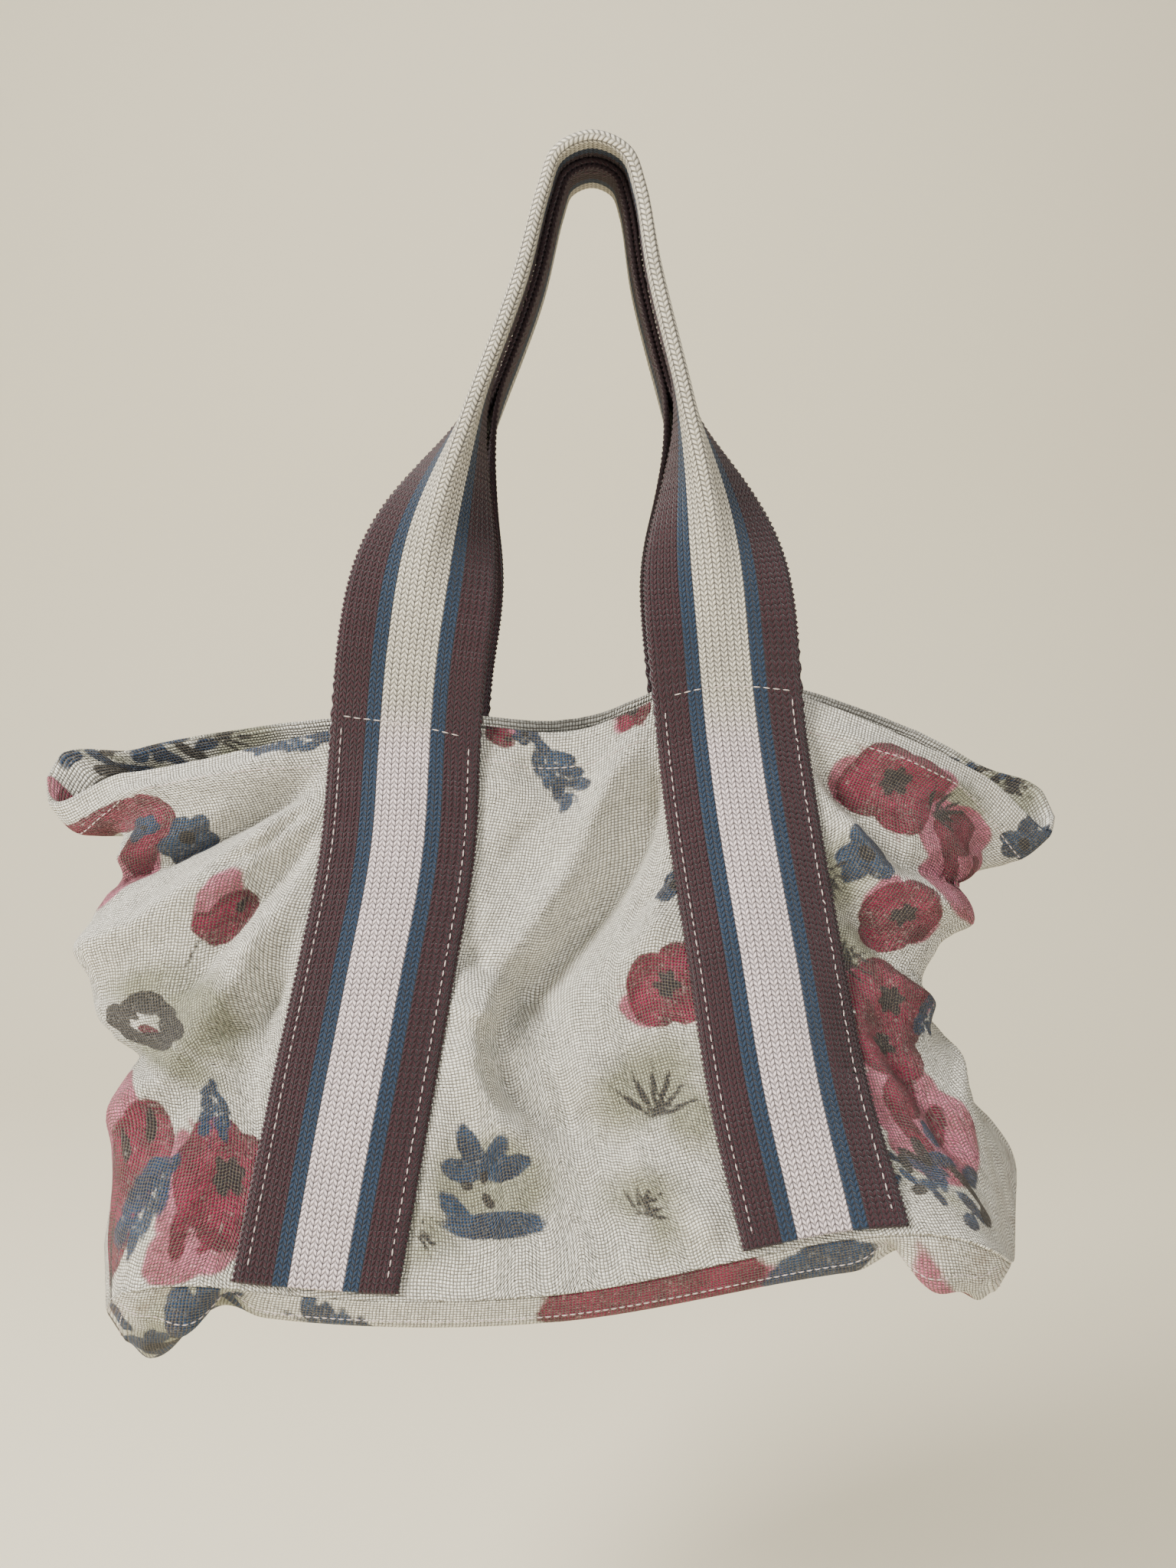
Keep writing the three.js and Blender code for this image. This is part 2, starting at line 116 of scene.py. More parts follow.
# Guides of the drape, from the mouth to the base seam: across in half widths, out in base
# depths, down in body heights.
LEFT_END = ((-1.0, -0.04, 0.16), (-0.81, -0.01, 0.35), (-0.93, -0.05, 0.57), (-0.9, -0.18, 0.75),
            (-1.1, -0.34, 1.05))
RIGHT_END = ((1.0, -0.04, 0.245), (0.8, -0.01, 0.41), (0.73, -0.05, 0.59), (0.89, -0.18, 0.73),
             (1.14, -0.34, 0.9))
GUIDES = {
    Side.FRONT: (
        LEFT_END,
        ((-0.77, -0.18, 0.135), (-0.89, -0.24, 0.33), (-0.97, -0.36, 0.58), (-0.94, -0.48, 0.71),
         (-0.97, -0.78, 1.01)),
        ((-0.275, -0.22, 0.03), (-0.3, -0.36, 0.285), (-0.36, -0.52, 0.54),
         (-0.435, -0.67, 0.81), (-0.515, -0.81, 1.065)),
        ((0.04, -0.2, 0.055), (0.06, -0.29, 0.31), (0.04, -0.42, 0.57), (0.03, -0.6, 0.83),
         (0.02, -0.81, 1.06)),
        ((0.335, -0.22, -0.05), (0.385, -0.36, 0.21), (0.45, -0.52, 0.47), (0.52, -0.67, 0.71),
         (0.625, -0.81, 0.96)),
        ((0.76, -0.17, 0.105), (0.87, -0.23, 0.36), (0.79, -0.34, 0.56), (0.9, -0.46, 0.75),
         (1.03, -0.77, 0.92)),
        RIGHT_END,
    ),
    Side.BACK: (
        LEFT_END,
        ((-0.77, 0.06, 0.085), (-0.87, 0.15, 0.33), (-0.94, 0.18, 0.58), (-0.92, 0.19, 0.76),
         (-0.97, 0.19, 1.01)),
        ((-0.275, 0.08, 0.025), (-0.3, 0.13, 0.285), (-0.36, 0.17, 0.54), (-0.435, 0.19, 0.81),
         (-0.515, 0.19, 1.065)),
        ((0.04, 0.08, 0.04), (0.06, 0.13, 0.3), (0.04, 0.16, 0.56), (0.03, 0.18, 0.82),
         (0.02, 0.19, 1.05)),
        ((0.335, 0.08, -0.055), (0.385, 0.13, 0.21), (0.45, 0.17, 0.47), (0.52, 0.19, 0.71),
         (0.625, 0.19, 0.96)),
        ((0.76, 0.07, 0.075), (0.84, 0.15, 0.33), (0.79, 0.18, 0.56), (0.89, 0.19, 0.74),
         (1.03, 0.19, 0.92)),
        RIGHT_END,
    ),
}
LEFT_STRAP, RIGHT_STRAP = 2, 4
CORNERS = (1, 5)

# How far each grip's fold lies from the hang point down its legs, in webbing widths.
FRONT_FOLD = (-0.5625, -0.578, -0.594, -0.578, -0.5625)
BACK_FOLD = (0.234, 0.3125, 0.4375, 0.375, 0.266)


# ---- Numbers ---------------------------------------------------------------------------


def smooth(x: Array | float, low: float, high: float) -> Array | float:
    """A smooth step from 0 at low to 1 at high."""
    t = np.clip((np.asarray(x, float) - low) / (high - low), 0, 1)
    return t * t * (3 - 2 * t)


def lerp(a: Array | float, b: Array | float, t: Array | float) -> Array | float:
    """The value a share t of the way from a to b."""
    return a + (b - a) * t


def unit(v: Array) -> Array:
    """Vectors made one long."""
    return v / np.maximum(np.linalg.norm(v, axis=-1, keepdims=True), 1e-12)


def spline(points: Array, places: Array, before: Array | None = None,
           after: Array | None = None) -> Array:
    """A centripetal Catmull-Rom curve.

    Args:
        points: the points it passes, one a row.
        places: where to read it, from 0 at the first point to 1 at the last.
        before: the point it comes from, ahead of the first.
        after: the point it goes on to, past the last.

    Returns:
        One point for each place.
    """
    p = np.asarray(points, float)
    n = len(p)
    ext = np.vstack([2 * p[0] - p[1] if before is None else before, p,
                     2 * p[-1] - p[-2] if after is None else after])
    t = np.clip(np.asarray(places, float), 0, 1) * (n - 1)
    i = np.minimum(t.astype(int), n - 2)
    w = (t - i)[:, None]
    a, b, c, d = ext[i], ext[i + 1], ext[i + 2], ext[i + 3]
    gap = lambda x, y: np.maximum(np.linalg.norm(x - y, axis=1) ** 0.5, 1e-4)[:, None]
    g0, g1, g2 = gap(a, b), gap(b, c), gap(c, d)
    m1 = ((b - a) / g0 - (c - a) / (g0 + g1) + (c - b) / g1) * g1
    m2 = ((c - b) / g1 - (d - b) / (g1 + g2) + (d - c) / g2) * g1
    h = 2 * w**3 - 3 * w**2
    return (1 + h) * b - h * c + (w**3 - 2 * w**2 + w) * m1 + (w**3 - w**2) * m2


def lengths_of(points: Array) -> Array:
    """The distance along a line of points to each of them."""
    steps = np.linalg.norm(np.diff(points, axis=0), axis=1)
    return np.concatenate([[0], np.cumsum(steps)])


def along_line(points: Array, distances: Array) -> Array:
    """Points at given distances along a line; past its ends it runs straight on."""
    run = lengths_of(points)
    at = np.stack([np.interp(distances, run, points[:, k]) for k in range(3)], axis=-1)
    before = np.minimum(distances, 0)[:, None]
    after = np.maximum(distances - run[-1], 0)[:, None]
    return at + before * unit(points[1] - points[0]) + after * unit(points[-1] - points[-2])


def down_lengths(grid: Array) -> Array:
    """The distance down each column of a grid of points to each of them."""
    steps = np.linalg.norm(np.diff(grid, axis=0), axis=-1)
    return np.concatenate([np.zeros((1, grid.shape[1])), np.cumsum(steps, axis=0)])


def normals_of(grid: Array) -> Array:
    """Unit normals of a grid of points: along its columns crossed with down its rows."""
    return unit(np.cross(np.gradient(grid, axis=1), np.gradient(grid, axis=0)))


def seen_at(points: Array, x: float, z: float) -> tuple[int, int]:
    """Which point of a grid lies nearest to a place as it is seen from the front."""
    away = np.hypot(points[..., 0] - x, points[..., 2] - z)
    return np.unravel_index(np.argmin(away), away.shape)


class Noise:
    """Smooth value noise on a plane, alike in every run."""

    def __init__(self, seed: int, cells: int = 64) -> None:
        """Args:
            seed: which noise.
            cells: how many cells before it repeats.
        """
        self.table = np.random.default_rng(seed).random((cells, cells)) * 2 - 1
        self.cells = cells

    def __call__(self, x: Array, y: Array) -> Array:
        """The noise, from -1 to 1, at plane places counted in cells."""
        i, j = np.floor(x).astype(int), np.floor(y).astype(int)
        u, v = smooth(x - i, 0, 1), smooth(y - j, 0, 1)
        cell = lambda a, b: self.table[a % self.cells, b % self.cells]
        top = lerp(cell(i, j), cell(i + 1, j), u)
        return lerp(top, lerp(cell(i, j + 1), cell(i + 1, j + 1), u), v)


# ---- Meshes ----------------------------------------------------------------------------


def new_piece(name: str, points: Array, faces: list | Array) -> bpy.types.Object:
    """A mesh object at the origin.

    Args:
        name: the piece's name.
        points: its points in millimetres.
        faces: its faces, as corner numbers.

    Returns:
        The object, linked to the scene.
    """
    mesh = bpy.data.meshes.new(name)
    mesh.from_pydata((points.reshape(-1, 3) * MM).tolist(), [], np.asarray(faces).tolist())
    mesh.validate()
    mesh.shade_smooth()
    made = bpy.data.objects.new(name, mesh)
    bpy.context.scene.collection.objects.link(made)
    return made


def grid_faces(rows: int, columns: int, flip: bool = False) -> Array:
    """The quads of a grid of points that is stored row by row."""
    i, j = np.meshgrid(np.arange(rows - 1), np.arange(columns - 1), indexing="ij")
    a = (i * columns + j).ravel()
    quads = np.stack([a, a + columns, a + columns + 1, a + 1], axis=1)
    return quads[:, ::-1] if flip else quads


def add_uv(obj: bpy.types.Object, uv: Array) -> None:
    """Gives a mesh a UV map in metres of cloth from one pair for each point."""
    mesh = obj.data
    corners = np.zeros(len(mesh.loops), np.int32)
    mesh.loops.foreach_get("vertex_index", corners)
    layer = mesh.uv_layers.new(name="cloth")
    layer.uv.foreach_set("vector", (uv.reshape(-1, 2)[corners] * MM).astype(np.float32).ravel())


def add_vectors(obj: bpy.types.Object, name: str, values: Array) -> None:
    """Stores three numbers for each point as an attribute."""
    made = obj.data.attributes.new(name, "FLOAT_VECTOR", "POINT")
    made.data.foreach_set("vector", values.reshape(-1, 3).astype(np.float32).ravel())


def add_values(obj: bpy.types.Object, name: str, values: Array) -> None:
    """Stores one number for each point as an attribute."""
    made = obj.data.attributes.new(name, "FLOAT", "POINT")
    made.data.foreach_set("value", values.ravel().astype(np.float32))


def thicken(obj: bpy.types.Object, thickness: float, offset: float, inner: int = 0,
            share: Array | None = None) -> None:
    """Gives a sheet its thickness in millimetres and applies it.

    Args:
        obj: the sheet.
        thickness: in millimetres.
        offset: -1 grows it inwards from its faces, 0 both ways.
        inner: how many material slots further on the inner face's material is.
        share: for each point, the share of the thickness it has.
    """
    bpy.ops.object.select_all(action="DESELECT")
    obj.select_set(True)
    bpy.context.view_layer.objects.active = obj
    wall = obj.modifiers.new("thickness", "SOLIDIFY")
    wall.thickness = thickness * MM
    wall.offset = offset
    wall.material_offset = inner
    if share is not None:
        group = obj.vertex_groups.new(name="thickness")
        for step in np.unique(np.round(share, 3)):
            at = np.flatnonzero(np.round(share.ravel(), 3) == step)
            group.add(at.tolist(), float(step), "REPLACE")
        wall.vertex_group = group.name
    bpy.ops.object.modifier_apply(modifier=wall.name)


# ---- The drape ---------------------------------------------------------------------------


@dataclass
class Drape:
    """The hung bag's surface, read by distance along its level lines."""

    sizes: Sizes = SIZES
    samples: int = 90
    pinch: float = 0.25
    opening: float = 7.5
    # the bottom corners that hang: across, out, how far down they begin, how far they lean in
    ears: tuple = ((-188, -84, 404, 6), (168, -90, 386, -4))
    ear_reach: tuple = (27, 36, 38)
    # where the outline swells out between guides: across, up, how far round, and the move
    swells: tuple = ((-226, -284, 17, (-5.0, -7.5)), (190, -303, 19, (5.0, -7.5)),
                     (-212, -436, 20, (-8.0, 1.0)), (180, -412, 18, (4.0, 1.0)))

    def place(self, side: Side, levels: Array) -> Array:
        """The guides' points at some levels.

        Args:
            side: front or back.
            levels: from 0 at the mouth to 1 at the base seam, and a little past.

        Returns:
            An array of levels by guides by 3, in millimetres.
        """
        s = self.sizes
        out = []
        for guide in GUIDES[side]:
            g = np.array(guide, float)
            share = np.linspace(0, 1, len(g))
            half = lerp(s.mouth_width, s.base_length, share) / 2
            points = np.stack([s.body_shift + g[:, 0] * half, g[:, 1] * s.base_depth,
                               -s.handle_drop - g[:, 2] * s.body_height], axis=1)
            at = spline(points, levels)
            step = 1e-3
            end = (spline(points, np.array([1.0])) - spline(points, np.array([1 - step]))) / step
            out.append(at + np.maximum(levels - 1, 0)[:, None] * unit(end) * s.body_height)
        return np.stack(out, axis=1)

    def lines(self, side: Side, levels: Array, drooped: bool = True) -> list[Array]:
        """The level lines, each a dense line of points from left end to right end."""
        places = np.linspace(0, 1, self.samples * (len(GUIDES[side]) - 1) + 1)
        other = Side.BACK if side is Side.FRONT else Side.FRONT
        round_ends = self.place(other, levels)[:, CORNERS]
        ends = lerp(round_ends, self.place(side, levels)[:, CORNERS], -self.pinch)
        made = [spline(points, places, before, after)
                for points, (before, after) in zip(self.place(side, levels), ends)]
        made = [self.open_points(line, side, level) for line, level in zip(made, levels)]
        return [self.droop(line) for line in made] if drooped else made

    def droop(self, p: Array) -> Array:
        """Lets the bag's bottom corners hang down as ears, alike for every sheet there."""
        wide, deep, tall = self.ear_reach
        for x, y, top, inwards in self.ears:
            near = np.exp(-(((p[..., 0] - x) / wide) ** 2) - ((p[..., 1] - y) / deep) ** 2)
            share = near * smooth(-p[..., 2], top, top + tall)
            p = p + share[..., None] * np.array([inwards, 0.0, -self.sizes.ear_drop])
        for x, z, reach, move in self.swells:
            near = np.exp(-((np.hypot(p[..., 0] - x, p[..., 2] - z) / reach) ** 2))
            p = p + near[..., None] * np.array([move[0], 0.0, move[1]])
        return p

    def open_points(self, line: Array, side: Side, level: float) -> Array:
        """Opens the mouth's two points: the front hem dips there and the back hem rises."""
        run = lengths_of(line)
        end = np.minimum(run, run[-1] - run)
        share = smooth(end, 0, 8) * (1 - smooth(end, 10, 44)) * (1 - smooth(level, 0, 0.22))
        return line + (self.opening * side.value * share)[:, None] * np.array([0.0, 0.4, 1.0])

    def reach(self, line: Array, guide: int) -> float:
        """The distance along a level line to one of its guides."""
        return float(lengths_of(line)[guide * self.samples])

    def strap_top(self, side: Side, guide: int) -> Array:
        """The point where a strap's middle crosses the mouth."""
        return self.place(side, np.array([0.0]))[0, guide]


@dataclass
class HingeLine:
    """The straight line through both strap tops, where a handle folds down."""

    left: Array
    right: Array
    below: float = 2.0
    above: float = 12.0

    @property
    def along(self) -> Array:
        """Its direction."""
        return unit(self.right - self.left)

    @property
    def upwards(self) -> Array:
        """The direction square to it, up along the webbing."""
        return unit(np.cross(self.along, np.array([0.0, 1.0, 0.0])))

    def bend(self) -> tuple[tuple, tuple]:
        """Where along the webbing its bend starts and ends, in metres."""
        start, end = self.left - self.below * self.upwards, self.left + self.above * self.upwards
        return tuple(start * MM), tuple(end * MM)


# ---- Print -------------------------------------------------------------------------------


@dataclass(frozen=True)
class Blot:
    """One brush mark of the print: an ellipse of one ink on the flat cloth."""

    ink: Ink
    x: float
    y: float
    long: float
    wide: float
    turn: float = 0.0

    def depth(self, x: Array, y: Array) -> Array:
        """How far inside its edge places lie, in millimetres; outside is negative."""
        c, s = math.cos(math.radians(self.turn)), math.sin(math.radians(self.turn))
        a = ((x - self.x) * c + (y - self.y) * s) / self.long
        b = (-(x - self.x) * s + (y - self.y) * c) / self.wide
        return (1 - np.hypot(a, b)) * min(self.long, self.wide)

    def moved(self, x: float, y: float, size: float, turn: float) -> "Blot":
        """The mark scaled, turned and moved to a place."""
        c, s = math.cos(math.radians(turn)), math.sin(math.radians(turn))
        return Blot(self.ink, x + size * (self.x * c - self.y * s),
                    y + size * (self.x * s + self.y * c), self.long * size, self.wide * size,
                    self.turn + turn)


def ringed(ink: Ink, count: int, reach: float, long: float, wide: float, turn: float = 0.0,
           lean: float = 0.0) -> list[Blot]:
    """Brush marks set round a middle.

    Args:
        ink: their ink.
        count: how many.
        reach: how far out they lie.
        long: half of each mark's length.
        wide: half of its width.
        turn: where the first lies, in degrees.
        lean: how far each is turned from pointing outwards, in degrees.

    Returns:
        The marks, a little unlike each other.
    """
    marks = []
    for k in range(count):
        angle = turn + 360 * k / count + 9 * math.sin(2.3 * k)
        far = reach * (1 + 0.12 * math.sin(1.7 * k + 1))
        grown = 1 + 0.2 * math.sin(2.9 * k + 0.5)
        x, y = far * math.cos(math.radians(angle)), far * math.sin(math.radians(angle))
        marks.append(Blot(ink, x, y, long * grown, wide * grown, angle + lean))
    return marks


def poppy() -> tuple[Blot, ...]:
    """An open poppy of four broad petals with a dark eye, about 34 mm across."""
    petals = ringed(Ink.RED, 4, 8.5, 10.5, 8.6, 25, 80)
    blush = [Blot(Ink.PINK, -10, 9, 9, 6, 30), Blot(Ink.PINK, 9, -11, 8, 5, 60)]
    veins = ringed(Ink.PINK, 3, 11, 6, 1.1, 50, 10)
    eye = [*ringed(Ink.BLACK, 6, 3.2, 2.5, 1.6), Blot(Ink.BLACK, 0, 0, 2.6, 2)]
    return (*blush, *petals, *veins, *eye)


def bloom() -> tuple[Blot, ...]:
    """A big loose flower, washed out to pink at its rim and red at its heart."""
    wash = ringed(Ink.PINK, 4, 9, 12, 9.5, 10, 60)
    return (*wash, Blot(Ink.RED, -6, 3, 9, 7, 40), Blot(Ink.RED, 5, 5, 8, 3, 150),
            Blot(Ink.RED, 2, -7, 7, 3, 20))


def bud() -> tuple[Blot, ...]:
    """A half-open flower seen from the side: a red cup with a pink petal, on a short stalk."""
    return (
        Blot(Ink.PINK, -5, -1, 13, 7.5, 75), Blot(Ink.RED, 3, 2, 12, 7.5, 95),
        Blot(Ink.RED, -2, 9, 6, 5, 0), Blot(Ink.BLACK, 3, -4, 3.5, 1.6, 80),
        Blot(Ink.BLACK, 0, 18, 7, 0.9, 80),
    )


def anemone() -> tuple[Blot, ...]:
    """A pale flower in an olive wash, with a ring of dark seeds round a red eye."""
    ring = ringed(Ink.BLACK, 9, 8.8, 5.2, 4.0, 10, 80)
    wash = [Blot(Ink.OLIVE, 17, -2, 16, 13, 100), Blot(Ink.OLIVE, 5, 15, 14, 8, 20),
            Blot(Ink.OLIVE, 2, -15, 12, 6, 170)]
    return (*wash, *ring, Blot(Ink.BLACK, -3, -4, 3.2, 2.2, 40), Blot(Ink.RED, 1, 3, 3.6, 2.8, 15))


def ribbon() -> tuple[Blot, ...]:
    """A long loose petal, pink at its root, that trails off into a dark stalk."""
    return (
        Blot(Ink.PINK, -20, -6, 16, 8, 20), Blot(Ink.RED, 0, 0, 24, 9, 12),
        Blot(Ink.RED, 15, 12, 17, 8, 100), Blot(Ink.PINK, 12, 28, 17, 8, 110),
        Blot(Ink.BLACK, -2, 46, 14, 1.4, 125), Blot(Ink.BLUE, -6, 50, 10, 1.8, 130),
    )


def sprig() -> tuple[Blot, ...]:
    """Blue leaves in turn on both sides of a thin stem."""
    leaves = []
    for k in range(7):
        side = 1 if k % 2 else -1
        leaves.append(Blot(Ink.BLUE, 4.6 * side, -13 + 3.9 * k, 7.6 - 0.3 * k, 3.1, 90 - 38 * side))
    return (*leaves, Blot(Ink.BLUE, 0, -17, 7, 2.8, 84), Blot(Ink.BLUE, 0, 1, 17, 0.9, 90))


def iris() -> tuple[Blot, ...]:
    """A blue flower: uneven petals above a broad dark foot, in a faint olive wash."""
    petals = ((0.25, 8.0, 3.4), (0.95, 6.5, 3.0), (1.85, 9.5, 3.6), (2.75, 6.0, 3.8))
    fan = [Blot(Ink.BLUE, 8 * math.cos(a) + 2, -3 - 8 * math.sin(a), long, wide, -math.degrees(a))
           for a, long, wide in petals]
    foot = [Blot(Ink.BLUE, 2, 12, 16, 4.4, 5), Blot(Ink.BLUE, -9, 6, 7, 3.4, 55)]
    return (Blot(Ink.OLIVE, 3, 0, 20, 15), *fan, *foot, *ringed(Ink.BLACK, 3, 4, 2.4, 1.5, 70))


def grass() -> tuple[Blot, ...]:
    """Dark blades fanned out from one root over an olive wash."""
    blades = [Blot(Ink.BLACK, 8 * math.cos(a) - 2, 9 - 9 * math.sin(a),
                   9.5 - 2.2 * abs(a - 1.4), 1.0, -math.degrees(a))
              for a in (0.35, 0.8, 1.2, 1.55, 2.0, 2.5)]
    wash = (Blot(Ink.OLIVE, -4, -2, 20, 12, 150), Blot(Ink.OLIVE, 9, 7, 14, 9, 60))
    return (*wash, *blades)


def violet() -> tuple[Blot, ...]:
    """A small round blue flower of five petals with a dark middle."""
    return (*ringed(Ink.BLUE, 5, 4, 4.2, 3.4, 15), Blot(Ink.BLACK, 0, 0, 2.6, 1.8, 30))


def thicket() -> tuple[Blot, ...]:
    """A dense patch of leaves and shade: blue, black and olive marks wound out from a middle."""
    inks = (Ink.OLIVE, Ink.BLUE, Ink.BLACK, Ink.BLUE)
    marks = []
    for k in range(14):
        angle, far = 2.4 * k, 5.2 * math.sqrt(k)
        marks.append(Blot(inks[k % 4], far * math.cos(angle), 0.8 * far * math.sin(angle),
                          7.5 - 0.2 * k, 3.0, 57.0 * k))
    return tuple(marks)


class Flower(Enum):
    """The motifs that the print repeats, each with its marks."""

    POPPY = poppy()
    BUD = bud()
    ANEMONE = anemone()
    SPRIG = sprig()
    IRIS = iris()
    GRASS = grass()
    VIOLET = violet()
    RIBBON = ribbon()
    BLOOM = bloom()
    THICKET = thicket()


@dataclass(frozen=True)
class Motif:
    """A flower on the cloth: where its middle is seen from the front, its size and turn."""

    flower: Flower
    x: float
    z: float
    size: float = 1.0
    turn: float = 0.0


FRONT_PRINT = (
    # between the straps
    Motif(Flower.POPPY, 29, -338, 1.05, 10), Motif(Flower.SPRIG, -12, -258, 0.95, -30),
    Motif(Flower.IRIS, -44, -414, 1.3, -4), Motif(Flower.GRASS, 27, -378, 1.25, 10),
    Motif(Flower.GRASS, 22, -416, 0.8, 40), Motif(Flower.VIOLET, 33, -300, 0.9, 0),
    Motif(Flower.BUD, -38, -239, 0.55, 100), Motif(Flower.VIOLET, -28, -236, 0.7, 0),
    Motif(Flower.POPPY, 17, -228, 0.45, 0), Motif(Flower.GRASS, -62, -430, 0.6, 80),
    # left of the left strap
    Motif(Flower.POPPY, -142, -407, 1.3, 40), Motif(Flower.BLOOM, -152, -424, 1.0, 100),
    Motif(Flower.SPRIG, -175, -419, 0.85, 35), Motif(Flower.SPRIG, -149, -386, 0.7, 5),
    Motif(Flower.ANEMONE, -183, -355, 1.5, 0), Motif(Flower.BUD, -152, -310, 1.0, 30),
    Motif(Flower.RIBBON, -207, -277, 1.3, 0), Motif(Flower.SPRIG, -128, -241, 0.8, 100),
    Motif(Flower.VIOLET, -172, -284, 1.5, 0), Motif(Flower.VIOLET, -192, -279, 1.0, 0),
    Motif(Flower.BUD, -181, -396, 1.6, 10), Motif(Flower.BUD, -188, -408, 1.5, -15),
    Motif(Flower.THICKET, -122, -433, 0.5, 0), Motif(Flower.SPRIG, -140, -238, 0.6, 70),
    # right of the right strap
    Motif(Flower.POPPY, 129, -259, 1.35, 25), Motif(Flower.BLOOM, 160, -290, 1.6, 95),
    Motif(Flower.POPPY, 130, -312, 1.0, 70), Motif(Flower.VIOLET, 114, -288, 1.6, 10),
    Motif(Flower.GRASS, 152, -272, 1.1, 30), Motif(Flower.VIOLET, 190, -288, 1.5, 0),
    Motif(Flower.POPPY, 122, -346, 1.3, 50), Motif(Flower.POPPY, 118, -364, 1.1, 15),
    Motif(Flower.BLOOM, 130, -388, 1.35, 95), Motif(Flower.THICKET, 142, -408, 1.0, 120),
    Motif(Flower.THICKET, 124, -406, 0.7, 0), Motif(Flower.SPRIG, 152, -384, 1.0, 60),
    Motif(Flower.SPRIG, 140, -356, 0.8, 20), Motif(Flower.GRASS, 98, -300, 0.9, 100),
    Motif(Flower.GRASS, 108, -330, 0.9, 60), Motif(Flower.SPRIG, 136, -332, 0.8, 170),
)
BACK_PRINT = (
    Motif(Flower.POPPY, -20, -300, 1.3, 80), Motif(Flower.SPRIG, 14, -262, 1.0, 140),
    Motif(Flower.BLOOM, -16, -382, 1.3, 30), Motif(Flower.GRASS, 28, -345, 1.1, 70),
    Motif(Flower.IRIS, 34, -410, 1.0, 20), Motif(Flower.VIOLET, -50, -262, 1.0, 0),
    Motif(Flower.POPPY, -150, -300, 1.2, 10), Motif(Flower.POPPY, -172, -398, 1.3, 60),
    Motif(Flower.ANEMONE, -140, -352, 1.2, 20), Motif(Flower.SPRIG, -196, -345, 1.0, 20),
    Motif(Flower.THICKET, -212, -256, 1.15, 20), Motif(Flower.THICKET, -184, -252, 1.0, 130),
    Motif(Flower.GRASS, -158, -246, 1.0, 80), Motif(Flower.BLOOM, 118, -268, 1.3, 0),
    Motif(Flower.THICKET, 172, -262, 0.8, 10), Motif(Flower.POPPY, 128, -330, 1.25, 35),
    Motif(Flower.SPRIG, 140, -385, 1.1, 60), Motif(Flower.ANEMONE, 112, -395, 1.0, 90),
    Motif(Flower.VIOLET, 150, -300, 0.9, 0), Motif(Flower.GRASS, 188, -268, 0.9, 0),
)


@dataclass
class Print:
    """Lays motifs on flat cloth and reads how deep each ink lies at its points."""

    motifs: tuple[Motif, ...] = ()
    reach: float = 4.0
    wash_reach: float = 11.0

    def inks(self, flat: Array, seen: Array) -> Array:
        """The five inks at a grid of cloth points.

        Args:
            flat: each point's place on the flat cloth, in millimetres.
            seen: each point's place as it hangs, in millimetres.

        Returns:
            Five numbers a point, 0.5 on a mark's edge and 1 well inside it.
        """
        blots = []
        for motif in self.motifs:
            x, y = flat[seen_at(seen, motif.x, motif.z)]
            blots += [mark.moved(x, y, motif.size, motif.turn) for mark in motif.flower.value]
        return self.depths(flat, blots)

    def depths(self, flat: Array, blots: list[Blot]) -> Array:
        """How deep each of the five inks lies at a grid of cloth points."""
        x, y = flat[..., 0], flat[..., 1]
        reach = np.array([self.wash_reach if ink is Ink.OLIVE else self.reach for ink in Ink])
        depth = np.tile(-reach, (*x.shape, 1))
        for blot in blots:
            k = blot.ink.value
            depth[..., k] = np.maximum(depth[..., k], blot.depth(x, y))
        return np.clip(0.5 + depth / (2 * reach), 0, 1)


# ---- Cloth -------------------------------------------------------------------------------


@dataclass(frozen=True)
class Fold:
    """A soft fold: a line on the cloth, seen from the front, that stands out or in."""

    points: tuple[tuple[float, float], ...]
    width: float
    height: float


